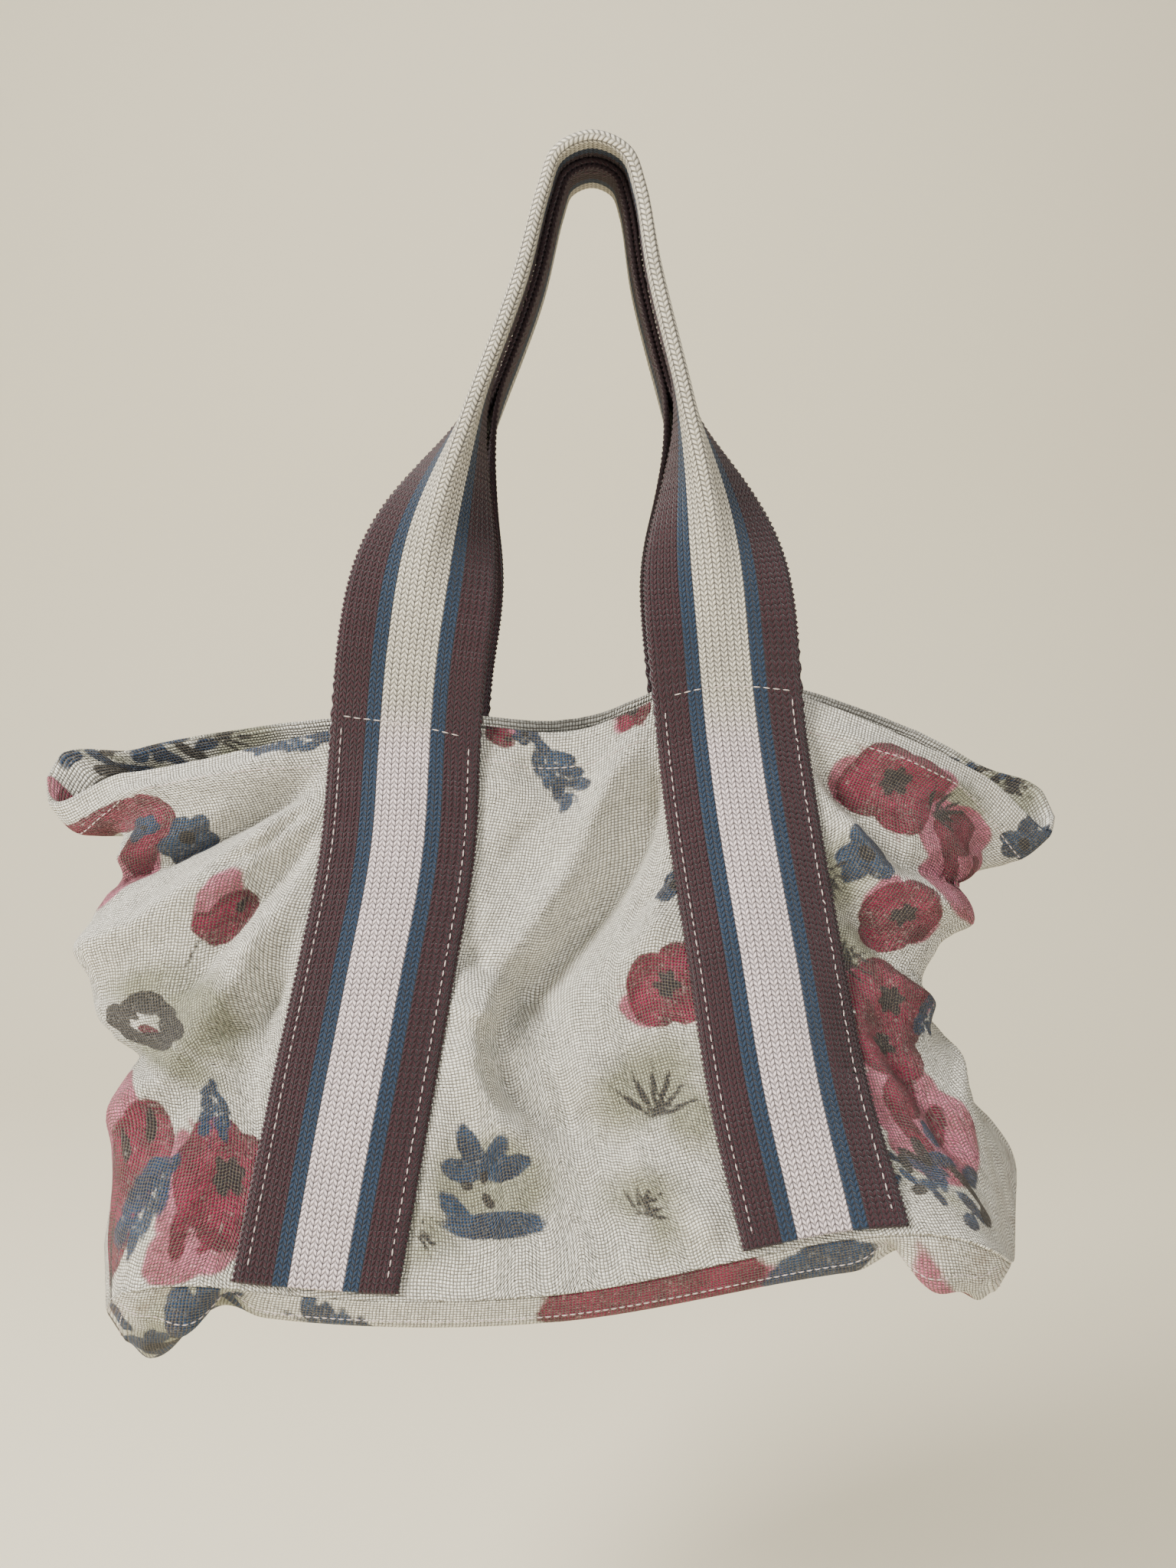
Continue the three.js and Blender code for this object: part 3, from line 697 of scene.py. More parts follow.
FRONT_FOLDS = (
    # the long drape between the straps: a ridge, the valley under it, and the turn below
    Fold(((26, -228), (8, -262), (-12, -300), (-42, -340), (-50, -366)), 11, 8),
    Fold(((36, -236), (22, -272), (2, -312), (-24, -344), (-42, -362)), 9, -11),
    Fold(((-50, -352), (-50, -374), (-38, -394), (-18, -402)), 10, 7),
    Fold(((-40, -366), (-34, -382), (-20, -392), (2, -398)), 8, -8),
    Fold(((44, -286), (30, -320), (6, -350), (0, -372), (22, -394)), 17, 7),
    Fold(((-66, -262), (-58, -292), (-44, -312)), 9, 3),
    Fold(((-30, -246), (-22, -258), (-6, -268)), 7, -3),
    Fold(((-60, -330), (-66, -370), (-72, -410)), 9, 4),
    Fold(((20, -404), (40, -418), (48, -436)), 10, 4),
    Fold(((-58, -318), (-44, -334), (-30, -338), (-16, -352)), 5, -5),
    Fold(((-62, -344), (-50, -352), (-36, -352)), 5, 4),
    Fold(((-20, -372), (-8, -388), (6, -392)), 5, -4),
    # fanning from the left strap's top out to the left wing and down its side
    Fold(((-112, -240), (-160, -258), (-216, -274)), 9, 7),
    Fold(((-112, -252), (-146, -272), (-186, -291), (-205, -300)), 7, -11),
    Fold(((-114, -262), (-150, -294), (-186, -318), (-206, -340)), 11, 8),
    Fold(((-116, -278), (-148, -316), (-170, -346)), 8, -7),
    Fold(((-120, -296), (-144, -340), (-172, -378), (-196, -408)), 10, 7),
    Fold(((-122, -320), (-134, -362), (-150, -404)), 8, -7),
    Fold(((-128, -352), (-140, -384), (-164, -428)), 8, 5),
    Fold(((-176, -366), (-188, -384), (-196, -404)), 7, -5),
    Fold(((-118, -268), (-134, -284), (-158, -300)), 5, -5),
    Fold(((-126, -334), (-138, -352), (-152, -362)), 5, -4),
    # right of the right strap
    Fold(((94, -234), (130, -250), (176, -278)), 8, 6),
    Fold(((92, -244), (112, -268), (134, -292), (150, -312)), 7, -9),
    Fold(((96, -262), (118, -296), (138, -326)), 9, 6),
    Fold(((104, -300), (122, -330), (140, -348)), 8, -7),
    Fold(((110, -322), (134, -362), (152, -392)), 10, 6),
    Fold(((116, -356), (136, -386), (150, -412)), 7, -5),
)
BACK_FOLDS = (
    Fold(((-30, -236), (-8, -300), (10, -370), (4, -430)), 18, 5),
    Fold(((22, -230), (0, -290), (-30, -350), (-40, -420)), 14, -5),
    Fold(((-114, -246), (-160, -280), (-200, -320)), 12, -5),
    Fold(((-120, -290), (-160, -340), (-190, -400)), 14, 6),
    Fold(((95, -240), (130, -280), (150, -310)), 11, -5),
    Fold(((105, -290), (136, -340), (160, -400)), 14, 6),
)


def fold_height(flat: Array, line: Array, fold: Fold) -> Array:
    """How far a fold lifts each point of the cloth.

    Args:
        flat: the points' places on the flat cloth.
        line: the fold's own points on the flat cloth.
        fold: its width and height.

    Returns:
        Millimetres outwards.
    """
    dense = np.stack([np.interp(np.linspace(0, 1, 60), np.linspace(0, 1, len(line)), line[:, k])
                      for k in range(2)], axis=1)
    best = np.full(flat.shape[:2], 1e9)
    where = np.zeros(flat.shape[:2])
    for share, point in zip(np.linspace(0, 1, len(dense)), dense):
        away = np.hypot(flat[..., 0] - point[0], flat[..., 1] - point[1])
        where = np.where(away < best, share, where)
        best = np.minimum(best, away)
    taper = smooth(where, 0, 0.25) * (1 - smooth(where, 0.75, 1))
    profile = np.exp(-((best / fold.width) ** 1.6))
    return fold.height * profile * lerp(0.35, 1.0, taper)


def dress_cloth(piece: bpy.types.Object, woven: Array, inks: Array, corner_shade: Array) -> None:
    """Gives a sheet of canvas its print, its two finishes and its thickness.

    Args:
        piece: the sheet.
        woven: each point's place along the yarns, in millimetres.
        inks: the five inks at each point.
        corner_shade: the painted shade at each point, darkest by the hanging corners.
    """
    add_uv(piece, woven)
    add_vectors(piece, "print_a", inks[..., :3])
    add_vectors(piece, "print_b", np.dstack([inks[..., 3:], corner_shade]))
    for finish in (CANVAS_FACE, CANVAS_REVERSE):
        piece.data.materials.append(finish.material())
    thicken(piece, SIZES.canvas, -1, inner=1)


@dataclass
class Panel:
    """A printed canvas panel with its hem turned in: one continuous sheet."""

    side: Side
    drape: Drape
    folds: tuple[Fold, ...]
    motifs: tuple[Motif, ...]
    columns: int = 330
    rows: int = 128
    fold_gain: float = 1.3
    uneven: tuple = (2.2, 1.9, 0.7)  # heights of its broad, middle and fine unevenness
    ease_seam: float = 22
    ease_hem: float = 26
    ease_end: float = 16
    sizes: Sizes = SIZES
    points: Array = field(init=False)
    flat: Array = field(init=False)

    def surface(self) -> None:
        """Works out the outer face's points and their places on the flat cloth."""
        levels = np.linspace(0, 1 + self.sizes.tail / self.sizes.body_height, self.rows)
        lines = self.drape.lines(self.side, levels)
        whole = float(np.mean([lengths_of(line)[-1] for line in lines]))
        share = np.linspace(0, 1, self.columns)
        rows = [along_line(line, share * lengths_of(line)[-1]) for line in lines]
        self.points = np.stack(rows)
        down = np.linspace(0, self.sizes.body_height * self.sizes.cut_ease, self.rows)
        self.flat = np.stack(np.meshgrid(share * whole, down), axis=-1)
        straps = [[self.drape.reach(line, g) / lengths_of(line)[-1] * whole for line in lines]
                  for g in (LEFT_STRAP, RIGHT_STRAP)]
        self.points += self.lift(np.array(straps))[..., None] * self.outwards()

    def outwards(self) -> Array:
        """Normals that point out of the bag."""
        return normals_of(self.points) * self.side.value

    def lift(self, straps: Array) -> Array:
        """How far folds and soft unevenness move each point outwards.

        Args:
            straps: the two straps' middles across the flat cloth, a row for each strap.

        Returns:
            Millimetres for each point.
        """
        x, y = self.flat[..., 0], self.flat[..., 1]
        held = np.ones(x.shape)
        half = self.sizes.webbing_width / 2
        for middle in straps:
            held *= smooth(np.abs(x - middle[:, None]), half - 4, half + 10)
        held *= smooth(self.flat[-1, 0, 1] - y, 0, self.ease_seam)
        held *= lerp(0.3, 1, smooth(y, 0, self.ease_hem))
        held *= smooth(np.minimum(x, x[0, -1] - x), 0, self.ease_end)
        total = np.zeros(x.shape)
        for fold in self.folds:
            total += self.fold_gain * fold_height(self.flat, self.on_cloth(fold), fold)
        broad, middle, fine = (Noise(seed + self.side.value) for seed in (11, 17, 23))
        total += self.uneven[0] * broad(x / 46, y / 38) + self.uneven[1] * middle(
            (x + 0.7 * y) / 17, (0.7 * x - y) / 34)
        total += self.uneven[2] * fine((x + y) / 8, (x - y) / 13)
        return total * held

    def on_cloth(self, fold: Fold) -> Array:
        """A fold's points as places on the flat cloth."""
        return np.array([self.flat[seen_at(self.points, x, z)] for x, z in fold.points])

    def turned_hem(self) -> tuple[Array, Array]:
        """The rows of the hem, from its raw edge inside up to the fold at the mouth.

        Returns:
            The rows' points, and their places on the flat cloth.
        """
        inwards = -self.outwards()
        step = self.flat[1, 0, 1]
        depth = int(self.sizes.hem_depth / step)
        roll = self.sizes.hem_roll
        inner = self.points[1 : depth + 1] + 2 * roll * inwards[1 : depth + 1]
        up = unit(self.points[0] - self.points[2])
        turns = np.linspace(0, math.pi, 7)[1:-1]
        middle = self.points[0] + roll * inwards[0]
        over = [middle + roll * (math.cos(t) * inwards[0] + math.sin(t) * up) for t in turns]
        rows = np.concatenate([inner[::-1], np.stack(over)])
        flat = np.repeat(self.flat[:1], len(rows), axis=0)
        flat[..., 1] = -np.linspace(self.sizes.hem_depth + math.pi * roll, 1, len(rows))[:, None]
        return rows, flat

    def build(self) -> bpy.types.Object:
        """Makes the panel's mesh, dresses it and hides the CAD parts it takes the place of."""
        self.surface()
        hem, hem_flat = self.turned_hem()
        inks = Print(self.motifs).inks(self.flat, self.points)
        mirrored = np.minimum(np.arange(len(hem))[::-1], len(inks) - 1)
        inks = np.concatenate([inks[mirrored], inks])
        points = np.concatenate([hem, self.points])
        flat = np.concatenate([hem_flat, self.flat])
        faces = grid_faces(*points.shape[:2], flip=self.side is Side.BACK)
        piece = new_piece(f"{self.side.word}_cloth", points, faces)
        # painted shade: a darker, mottled brown over the panel's lower ends, by the hanging corners
        corner_shade = 0.6 * smooth(flat[..., 1], 150, 240) * smooth(
            np.abs(flat[..., 0] - flat[0, -1, 0] / 2), 120, 240)
        woven = flat.copy()
        woven[len(hem) :, :, 1] = down_lengths(self.points)
        dress_cloth(piece, woven, inks, corner_shade)
        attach(piece, "bag")
        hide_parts(f"{self.side.word}_panel", f"{self.side.word}_hem_turning")
        return piece


@dataclass
class Base:
    """The base: one sheet hung from the panels' lower edges, welted round, with ears."""

    drape: Drape
    columns: int = 260
    rows: int = 120
    sizes: Sizes = SIZES
    points: Array = field(init=False)
    flat: Array = field(init=False)

    def edge(self, side: Side, start: int, end: int, shares: Array) -> Array:
        """Points along a panel's lower edge between two of its guides."""
        line = self.drape.lines(side, np.array([1.0]), drooped=False)[0]
        a, b = self.drape.reach(line, start), self.drape.reach(line, end)
        return along_line(line, lerp(a, b, shares))

    def surface(self) -> None:
        """Works out the base's points from its four edges, its sag, ears and welts."""
        s = self.sizes
        u, v = np.linspace(0, 1, self.columns), np.linspace(0, 1, self.rows)
        front, back = self.edge(Side.FRONT, *CORNERS, u), self.edge(Side.BACK, *CORNERS, u)
        ends = []
        for corner, end in ((CORNERS[0], 0), (CORNERS[1], len(GUIDES[Side.FRONT]) - 1)):
            first = self.edge(Side.FRONT, corner, end, np.clip(2 * v, 0, 1))
            second = self.edge(Side.BACK, end, corner, np.clip(2 * v - 1, 0, 1))
            ends.append(np.where((v < 0.5)[:, None], first, second))
        uu, vv = u[None, :, None], v[:, None, None]
        ruled = lerp(front[None], back[None], vv) + lerp(ends[0][:, None], ends[1][:, None], uu)
        corners = lerp(lerp(front[0], front[-1], uu), lerp(back[0], back[-1], uu), vv)
        p = self.drape.droop(ruled - corners)
        self.flat = np.stack(np.meshgrid(u * s.base_length, v * s.base_depth), axis=-1)
        side, depth = self.from_edges()
        band = s.band_drop * lerp(0.9, 1.25, self.flat[..., 0] / s.base_length)
        p[..., 2] -= band * smooth(depth, -3, 12) * smooth(side, -4, 16)
        p += self.ears()
        self.points = p + self.welt()[..., None] * -normals_of(p)

    def from_edges(self) -> tuple[Array, Array]:
        """How far each point lies from the nearer end, and from the nearer long edge."""
        x, y = self.flat[..., 0], self.flat[..., 1]
        return (np.minimum(x, self.sizes.base_length - x),
                np.minimum(y, self.sizes.base_depth - y))

    def ears(self) -> Array:
        """How the cloth crumples where the corners hang down, as a move for each point."""
        side, depth = self.from_edges()
        held = smooth(side, 0, 9) * smooth(depth, 0, 9)
        crease = lambda at, slope, wide: np.exp(-(((side - at - slope * depth) / wide) ** 2))
        near = np.exp(-((depth / 42) ** 2)) * held
        move = np.zeros((*side.shape, 3))
        move[..., 2] = near * (9 * crease(50, -0.35, 8) - 7 * crease(32, 0.1, 10))
        towards = np.where(self.flat[..., 1] < self.sizes.base_depth / 2, 1, -1)
        move[..., 1] = -near * towards * (
            5 * crease(30, -0.2, 9) - 4 * crease(46, -0.1, 7))
        return move

    def welt(self) -> Array:
        """How far the turned seam allowances lift the sheet, millimetres for each point."""
        s = self.sizes
        x, y = self.flat[..., 0], self.flat[..., 1]
        near = np.minimum(*self.from_edges())
        raised = 1 - smooth(near, s.welt_width - 1.2, s.welt_width + 0.8)
        rolled = smooth(near, -1.4, 1.6)
        uneven = 0.8 * Noise(5)(x / 40, y / 30) * smooth(near, 8, 20)
        return s.welt_rise * raised * rolled + uneven

    def inks(self) -> Array:
        """The print on the base: flowers at its left, a long petal along its front."""
        marks = [Blot(Ink.RED, 206, 5, 44, 11, 0), Blot(Ink.PINK, 240, 9, 22, 8, 8),
                 Blot(Ink.BLUE, 268, 7, 22, 7, -6), Blot(Ink.PINK, 316, 20, 20, 7, 60),
                 Blot(Ink.RED, 321, 24, 13, 4, 60)]
        for flower, x, y, size, turn in (
                (Flower.IRIS, 34, 16, 1.3, 20), (Flower.THICKET, 16, 26, 1.1, 70),
                (Flower.SPRIG, 86, 12, 1.0, 110), (Flower.POPPY, 70, 80, 1.2, 70),
                (Flower.SPRIG, 150, 60, 1.2, 150), (Flower.POPPY, 250, 90, 1.2, 250),
                (Flower.IRIS, 190, 110, 1.2, 190), (Flower.GRASS, 110, 125, 1.2, 110),
                (Flower.VIOLET, 300, 60, 1.2, 300)):
            marks += [mark.moved(x, y, size, turn) for mark in flower.value]
        return Print().depths(self.flat, marks)

    def build(self) -> bpy.types.Object:
        """Makes the base's mesh, dresses it and hides the CAD parts it takes the place of."""
        self.surface()
        piece = new_piece("base_cloth", self.points, grid_faces(self.rows, self.columns))
        side, depth = self.from_edges()
        rim = 1 - smooth(np.minimum(side, depth), 2, self.sizes.welt_width + 3)
        # painted shade along the base's rims, strongest towards its ends where the corners hang
        corner_shade = rim * (0.08 + 0.92 * (1 - smooth(side, 8, 40)))
        woven = np.dstack([self.flat[..., 0], down_lengths(self.points)])
        dress_cloth(piece, woven, self.inks(), corner_shade)
        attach(piece, "bag")
        ends = ("front", "back", "left_end", "right_end")
        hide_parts("base_panel", *(f"{end}_base_welt" for end in ends))
        return piece


# ---- Webbing -----------------------------------------------------------------------------


@dataclass
class Webbing:
    """One side's webbing: up the left strap, over the hand as the folded grip, down the right."""

    side: Side
    drape: Drape
    columns: int = 33
    run_rows: int = 290
    grip_rows: int = 640
    crowd: float = 1.3
    # down each leg of the grip: across and down from arch to strap top, and how far it nests
    leg: tuple = ((0.165, 0.16, 1.0), (0.53, 0.42, 0.75), (0.79, 0.63, 0.3), (0.94, 0.86, 0.05))
    sizes: Sizes = SIZES
    points: Array = field(init=False)
    flat: Array = field(init=False)

    def hinge(self) -> HingeLine:
        """The line where this handle folds down."""
        tops = [self.drape.strap_top(self.side, guide) for guide in (LEFT_STRAP, RIGHT_STRAP)]
        return HingeLine(*tops)

    def fold_line(self) -> Array:
        """The middle of the grip's fold, a dense line from left strap top to right strap top."""
        s = self.sizes
        back = self.side is Side.BACK
        nest = s.nest if back else 0
        radius = s.arch_half_width - nest
        pressed = s.pressed_half + s.webbing / 2
        arch_z = pressed - (s.arch_half_width - s.nest)
        rise = radius if back else s.arch_half_width - s.nest + 2 * pressed + 0.3
        fold = BACK_FOLD if back else FRONT_FOLD
        lift = (s.foot_lift + s.webbing / 2) * self.side.value
        line = self.hinge()
        legs = []
        for top, sign in ((line.left, -1), (line.right, 1)):
            leg = [(lerp(sign * s.arch_half_width, top[0], across) - sign * nest * kept,
                    fold[i + 1] * s.webbing_width, lerp(arch_z, top[2], down))
                   for i, (across, down, kept) in enumerate(self.leg)]
            legs.append([*leg, (top[0], top[1] + lift, top[2])])
        front = fold[0] * s.webbing_width
        arch = [(radius * math.cos(t), front, arch_z + rise * math.sin(t))
                for t in np.linspace(math.pi, 0, 5)]
        points = np.array([*legs[0][::-1], *arch, *legs[1]], float)
        return spline(points, np.linspace(0, 1, 1500))

    def across(self) -> Array:
        """Where the columns lie across the webbing, closer together at its fold."""
        t = np.linspace(-1, 1, self.columns)
        return self.sizes.webbing_width / 2 * np.sign(t) * np.abs(t) ** self.crowd

    def grip(self) -> Array:
        """The free webbing's middle surface, a row of points for each step along it."""
        s = self.sizes
        line = self.fold_line()
        run = lengths_of(line)
        at = np.linspace(0, run[-1], self.grip_rows)
        middle = along_line(line, at)
        tangent = unit(np.gradient(middle, axis=0))
        inner = unit(np.cross(np.array([0.0, 1.0, 0.0]), tangent))
        across = self.across()
        flat_share = smooth(-middle[:, 2], s.bend_top, s.bend_bottom)
        bend = np.maximum(math.pi / 2 * (1 - flat_share), 1e-4)
        half = lerp(s.pressed_half, s.fold_half, smooth(-middle[:, 2], 2, 60))[:, None]
        arc_length = half * math.pi / 2
        arc = np.minimum(np.abs(across), arc_length)
        turned = bend[:, None] * arc / arc_length
        radius = arc_length / bend[:, None]
        rest = np.abs(across) - arc
        folded = smooth(bend, 1.1, math.pi / 2)[:, None]
        shut = np.maximum(half - s.closed_half, 0) * smooth(rest, 2, 16) * folded
        sideways = (radius * np.sin(turned) + rest * np.cos(bend)[:, None] - shut) * np.sign(across)
        inwards = radius * (1 - np.cos(turned)) + rest * np.sin(bend)[:, None]
        depth = np.zeros((*inwards.shape, 3))
        depth[..., 1] = -inwards * self.side.value
        return middle[:, None] + sideways[..., None] * inner[:, None] + depth

    def run(self, guide: int) -> Array:
        """A sewn run's middle surface, from the mouth down to the base seam."""
        s = self.sizes
        levels = np.linspace(0, 1, self.run_rows)
        across = self.across()
        rows = [along_line(line, self.drape.reach(line, guide) + across)
                for line in self.drape.lines(self.side, levels)]
        p = np.stack(rows)
        return p + normals_of(p) * self.side.value * (s.webbing_lift + s.webbing / 2)

    def surface(self) -> None:
        """Joins run, grip and run into one strip, and eases where they meet."""
        left, right = self.run(LEFT_STRAP), self.run(RIGHT_STRAP)
        grip = self.grip()
        skip_run, skip_grip = 10, 16
        p = np.concatenate([left[:skip_run:-1], grip[skip_grip:-skip_grip],
                            right[skip_run + 1 :, ::-1]])
        for joint in (len(left) - skip_run - 1, len(p) - len(right) + skip_run + 1):
            p = self.eased(p, joint)
        steps = np.linalg.norm(np.diff(p, axis=0), axis=-1).mean(axis=1)
        along = np.concatenate([[0], np.cumsum(steps)])
        half = self.sizes.webbing_width / 2
        self.flat = np.stack(np.meshgrid(self.across() + half, along), axis=-1)
        self.points = p + self.ribs(p)

    def ribs(self, p: Array) -> Array:
        """The cross ribs of the dark edges and the knuckles of the selvedges, as moves."""
        half = self.sizes.webbing_width / 2
        from_middle = np.abs(self.flat[..., 0] - half)
        wave = np.cos(self.flat[..., 1] / (KNIT_ROW / MM) * 2 * math.pi)
        height = lerp(0.08, 0.34, smooth(from_middle, half - 17, half - 14)) * wave
        sideways = 0.45 * wave * smooth(from_middle, half - 2.5, half)
        outwards = unit(np.gradient(p, axis=1)) * np.sign(self.flat[..., :1] - half)
        return height[..., None] * normals_of(p) + sideways[..., None] * outwards

    def face(self) -> tuple[Array, Array]:
        """The outer face's points, and the normals there."""
        normals = normals_of(self.points) * -self.side.value
        return self.points + self.sizes.webbing / 2 * normals, normals

    def eased(self, p: Array, joint: int, reach: int = 46, passes: int = 160) -> Array:
        """Smooths a strip along its length round one row.

        Args:
            p: the strip.
            joint: the row to smooth round.
            reach: how many rows each way.
            passes: how often.

        Returns:
            The smoothed strip.
        """
        rows = np.arange(len(p))
        share = (0.5 * (1 - smooth(np.abs(rows - joint), reach / 2, reach)))[:, None, None]
        for _ in range(passes):
            mean = p.copy()
            mean[1:-1] = (p[:-2] + p[2:]) / 2
            p = lerp(p, mean, share)
        return p

    def build(self) -> bpy.types.Object:
        """Makes the webbing's mesh, dresses it, hides the CAD parts it takes the place of and bakes
        its transform.
        """
        self.surface()
        word = self.side.word
        faces = grid_faces(*self.points.shape[:2], flip=self.side is Side.FRONT)
        piece = new_piece(f"{word}_webbing", self.points, faces)
        add_uv(piece, self.flat)
        sewn = 1 - smooth(self.points[..., 2] - self.hinge().left[2], -14, 14)
        add_values(piece, "sewn", sewn)
        piece.data.materials.append(WEBBING.material())
        half = self.sizes.webbing_width / 2
        full = 1 - 0.5 * smooth(np.abs(self.flat[..., 0] - half), half - 2.5, half)
        thicken(piece, self.sizes.webbing, 0, share=full)
        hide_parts(f"{word}_strap_left", f"{word}_strap_right", f"{word}_handle")
        start, end = self.hinge().bend()
        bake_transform(piece)
        return piece


# ---- Stitches ----------------------------------------------------------------------------


@dataclass
class StitchRow:
    """A row of stitches: one small rounded dash of thread for each stitch."""

    name: str
    pitch: float
    dash: float
    radius: float = 0.3
    rings: int = 5
    around: int = 6

    def dashes(self, path: Array, up: Array) -> tuple[Array, Array]:
        """The dashes along a path.

        Args:
            path: the row's points on the cloth, in millimetres.
            up: the cloth's outward normal at each.

        Returns:
            All the dashes' points, and their faces.
        """
        run = lengths_of(path)
        starts = np.arange(self.pitch / 2, run[-1] - self.pitch / 2, self.pitch)
        middle = along_line(path, starts)
        ahead = unit(along_line(path, starts + 0.5) - middle)
        lift = unit(np.stack([np.interp(starts, run, up[:, k]) for k in range(3)], axis=1))
        wide = unit(np.cross(lift, ahead))
        places = np.linspace(-1, 1, self.rings)
        swell = np.sqrt(np.clip(1 - places**2, 0.06, 1))
        dip = -0.5 * self.radius * places**2
        turn = np.arange(self.around) / self.around * 2 * math.pi
        points = (
            middle[:, None, None]
            + ahead[:, None, None] * (places * self.dash / 2)[:, None, None]
            + wide[:, None, None] * (self.radius * swell[:, None] * np.cos(turn))[..., None]
            + lift[:, None, None] * (self.radius * swell[:, None] * np.sin(turn)
                                     + dip[:, None])[..., None]
        )
        ring, k = np.indices((self.rings - 1, self.around))
        ring, j = ring * self.around, (k + 1) % self.around
        after = ring + self.around
        one = np.stack([ring + k, ring + j, after + j, after + k], axis=-1)
        shift = np.arange(len(starts))[:, None, None] * self.rings * self.around
        quads = (one.reshape(1, -1, 4) + shift).reshape(-1, 4)
        return points.reshape(-1, 3), quads

    def build(self, rows: list[tuple[Array, Array]],
              thread: "Thread | None" = None) -> bpy.types.Object:
        """Makes one piece of several paths and hides the CAD stitch it takes the place of.

        Args:
            rows: each path's points, and the cloth's normals there.
            thread: what it is sewn with, if not the usual thread.

        Returns:
            The piece.
        """
        points, faces, count = [], [], 0
        for path, up in rows:
            p, f = self.dashes(path, up)
            points.append(p)
            faces.append(f + count)
            count += len(p)
        piece = new_piece(self.name, np.concatenate(points), np.concatenate(faces))
        piece.data.materials.append((thread or THREAD).material())
        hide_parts(self.name.replace("_thread", "_stitch"))
        return piece


class Stitching:
    """Every row of stitches on the bag, laid on the built panels, base and webbing."""

    proud: float = 0.12  # how far a thread's middle lies off the cloth
    below_fold: float = 2  # how far below the folding line the cross rows lie

    def __init__(self, front: "Panel", back: "Panel", base: "Base",
                 straps: dict[Side, "Webbing"]) -> None:
        """Args:
            front: the built front panel.
            back: the built back panel.
            base: the built base.
            straps: the built webbing of each side.
        """
        self.panels = {Side.FRONT: front, Side.BACK: back}
        self.base = base
        self.straps = straps
        self.sizes = front.sizes

    def on_grid(self, points: Array, flat: Array, normals: Array,
                path: Array) -> tuple[Array, Array]:
        """A path given on flat cloth, laid on the cloth's points.

        Args:
            points: the cloth's points.
            flat: their places on the flat cloth, square to each other.
            normals: outward normals.
            path: the path's flat places.

        Returns:
            The path's points just proud of the cloth, and the normals there.
        """
        columns, rows = flat[0, :, 0], flat[:, 0, 1]
        i = np.interp(path[:, 1], rows, np.arange(len(rows)))
        j = np.interp(path[:, 0], columns, np.arange(len(columns)))
        i0, j0 = np.floor(i).astype(int), np.floor(j).astype(int)
        i1, j1 = np.minimum(i0 + 1, len(rows) - 1), np.minimum(j0 + 1, len(columns) - 1)
        u, v = (i - i0)[:, None], (j - j0)[:, None]
        mix = lambda a: lerp(lerp(a[i0, j0], a[i1, j0], u), lerp(a[i0, j1], a[i1, j1], u), v)
        n = unit(mix(normals))
        return mix(points) + self.proud * n, n

    def hems(self) -> None:
        """The hem's stitch line, left of, between and right of the straps."""
        for side, panel in self.panels.items():
            normals = panel.outwards()
            width = panel.flat[0, -1, 0]
            level = np.array([self.sizes.hem_stitch / self.sizes.body_height])
            line = panel.drape.lines(side, level)[0]
            whole = lengths_of(line)[-1]
            half = self.sizes.webbing_width / 2 + 1
            straps = [panel.drape.reach(line, g) / whole * width for g in (LEFT_STRAP, RIGHT_STRAP)]
            spans = {"left": (7, straps[0] - half), "middle": (straps[0] + half, straps[1] - half),
                     "right": (straps[1] + half, width - 7)}
            for place, (start, end) in spans.items():
                x = np.linspace(start, end, 200)
                y = self.sizes.hem_stitch * self.sizes.cut_ease + 0.5 * np.sin(x / 17)
                path = self.on_grid(panel.points, panel.flat, normals, np.stack([x, y], axis=1))
                row = StitchRow(f"{side.word}_hem_thread_{place}", pitch=3.4, dash=2.5)
                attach(row.build([path]), "bag")

    def straps_down(self) -> None:
        """The rows that sew each strap's run on: both edges and across at the hem."""
        for side, strap in self.straps.items():
            face, normals = strap.face()
            width, whole = strap.flat[0, -1, 0], strap.flat[-1, 0, 1]
            inset = self.sizes.stitch_inset
            start, end = strap.hinge().bend()
            for place, first, way, slope in (("left", 0, 1, 9.0), ("right", whole, -1, 0.0)):
                depth = self.run_length(strap, place) - self.below_fold
                across = np.linspace(inset, width - inset, 60)
                hem = first + way * (depth - slope * (across / width - 0.5) * way)
                rows = [np.stack([across, hem], axis=1)]
                for x, last in ((inset, hem[0]), (width - inset, hem[-1])):
                    down = np.linspace(first + way * 5, last - way * 2, 260)
                    rows.append(np.stack([np.full(len(down), x), down], axis=1))
                paths = [self.on_grid(face, strap.flat, normals, path) for path in rows]
                row = StitchRow(f"{side.word}_strap_thread_{place}", pitch=4.2, dash=3.0)
                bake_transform(row.build(paths))

    def run_length(self, strap: "Webbing", place: str) -> float:
        """The length of a sewn run, from the base seam up to the line the handle folds on."""
        middle = strap.points.shape[1] // 2
        line = strap.points[:, middle] if place == "left" else strap.points[::-1, middle]
        top = (strap.hinge().left if place == "left" else strap.hinge().right)[2]
        return float(lengths_of(line[: np.argmax(line[:, 2] > top)])[-1])

    def grips(self) -> None:
        """The row that holds each grip folded."""
        for side, strap in self.straps.items():
            face, normals = strap.face()
            width = strap.flat[0, -1, 0]
            high = strap.points[:, strap.points.shape[1] // 2, 2] > -self.sizes.bend_top
            along = strap.flat[high, 0, 1]
            down = np.linspace(along[0], along[-1], 400)
            rows = [np.stack([np.full(len(down), x), down], axis=1)
                    for x in (self.sizes.stitch_inset, width - self.sizes.stitch_inset)]
            paths = [self.on_grid(face, strap.flat, normals, path) for path in rows]
            row = StitchRow(f"{side.word}_grip_thread", pitch=5.0, dash=3.4, radius=0.35)
            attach(row.build(paths, GRIP_THREAD), f"{side.word}_handle")

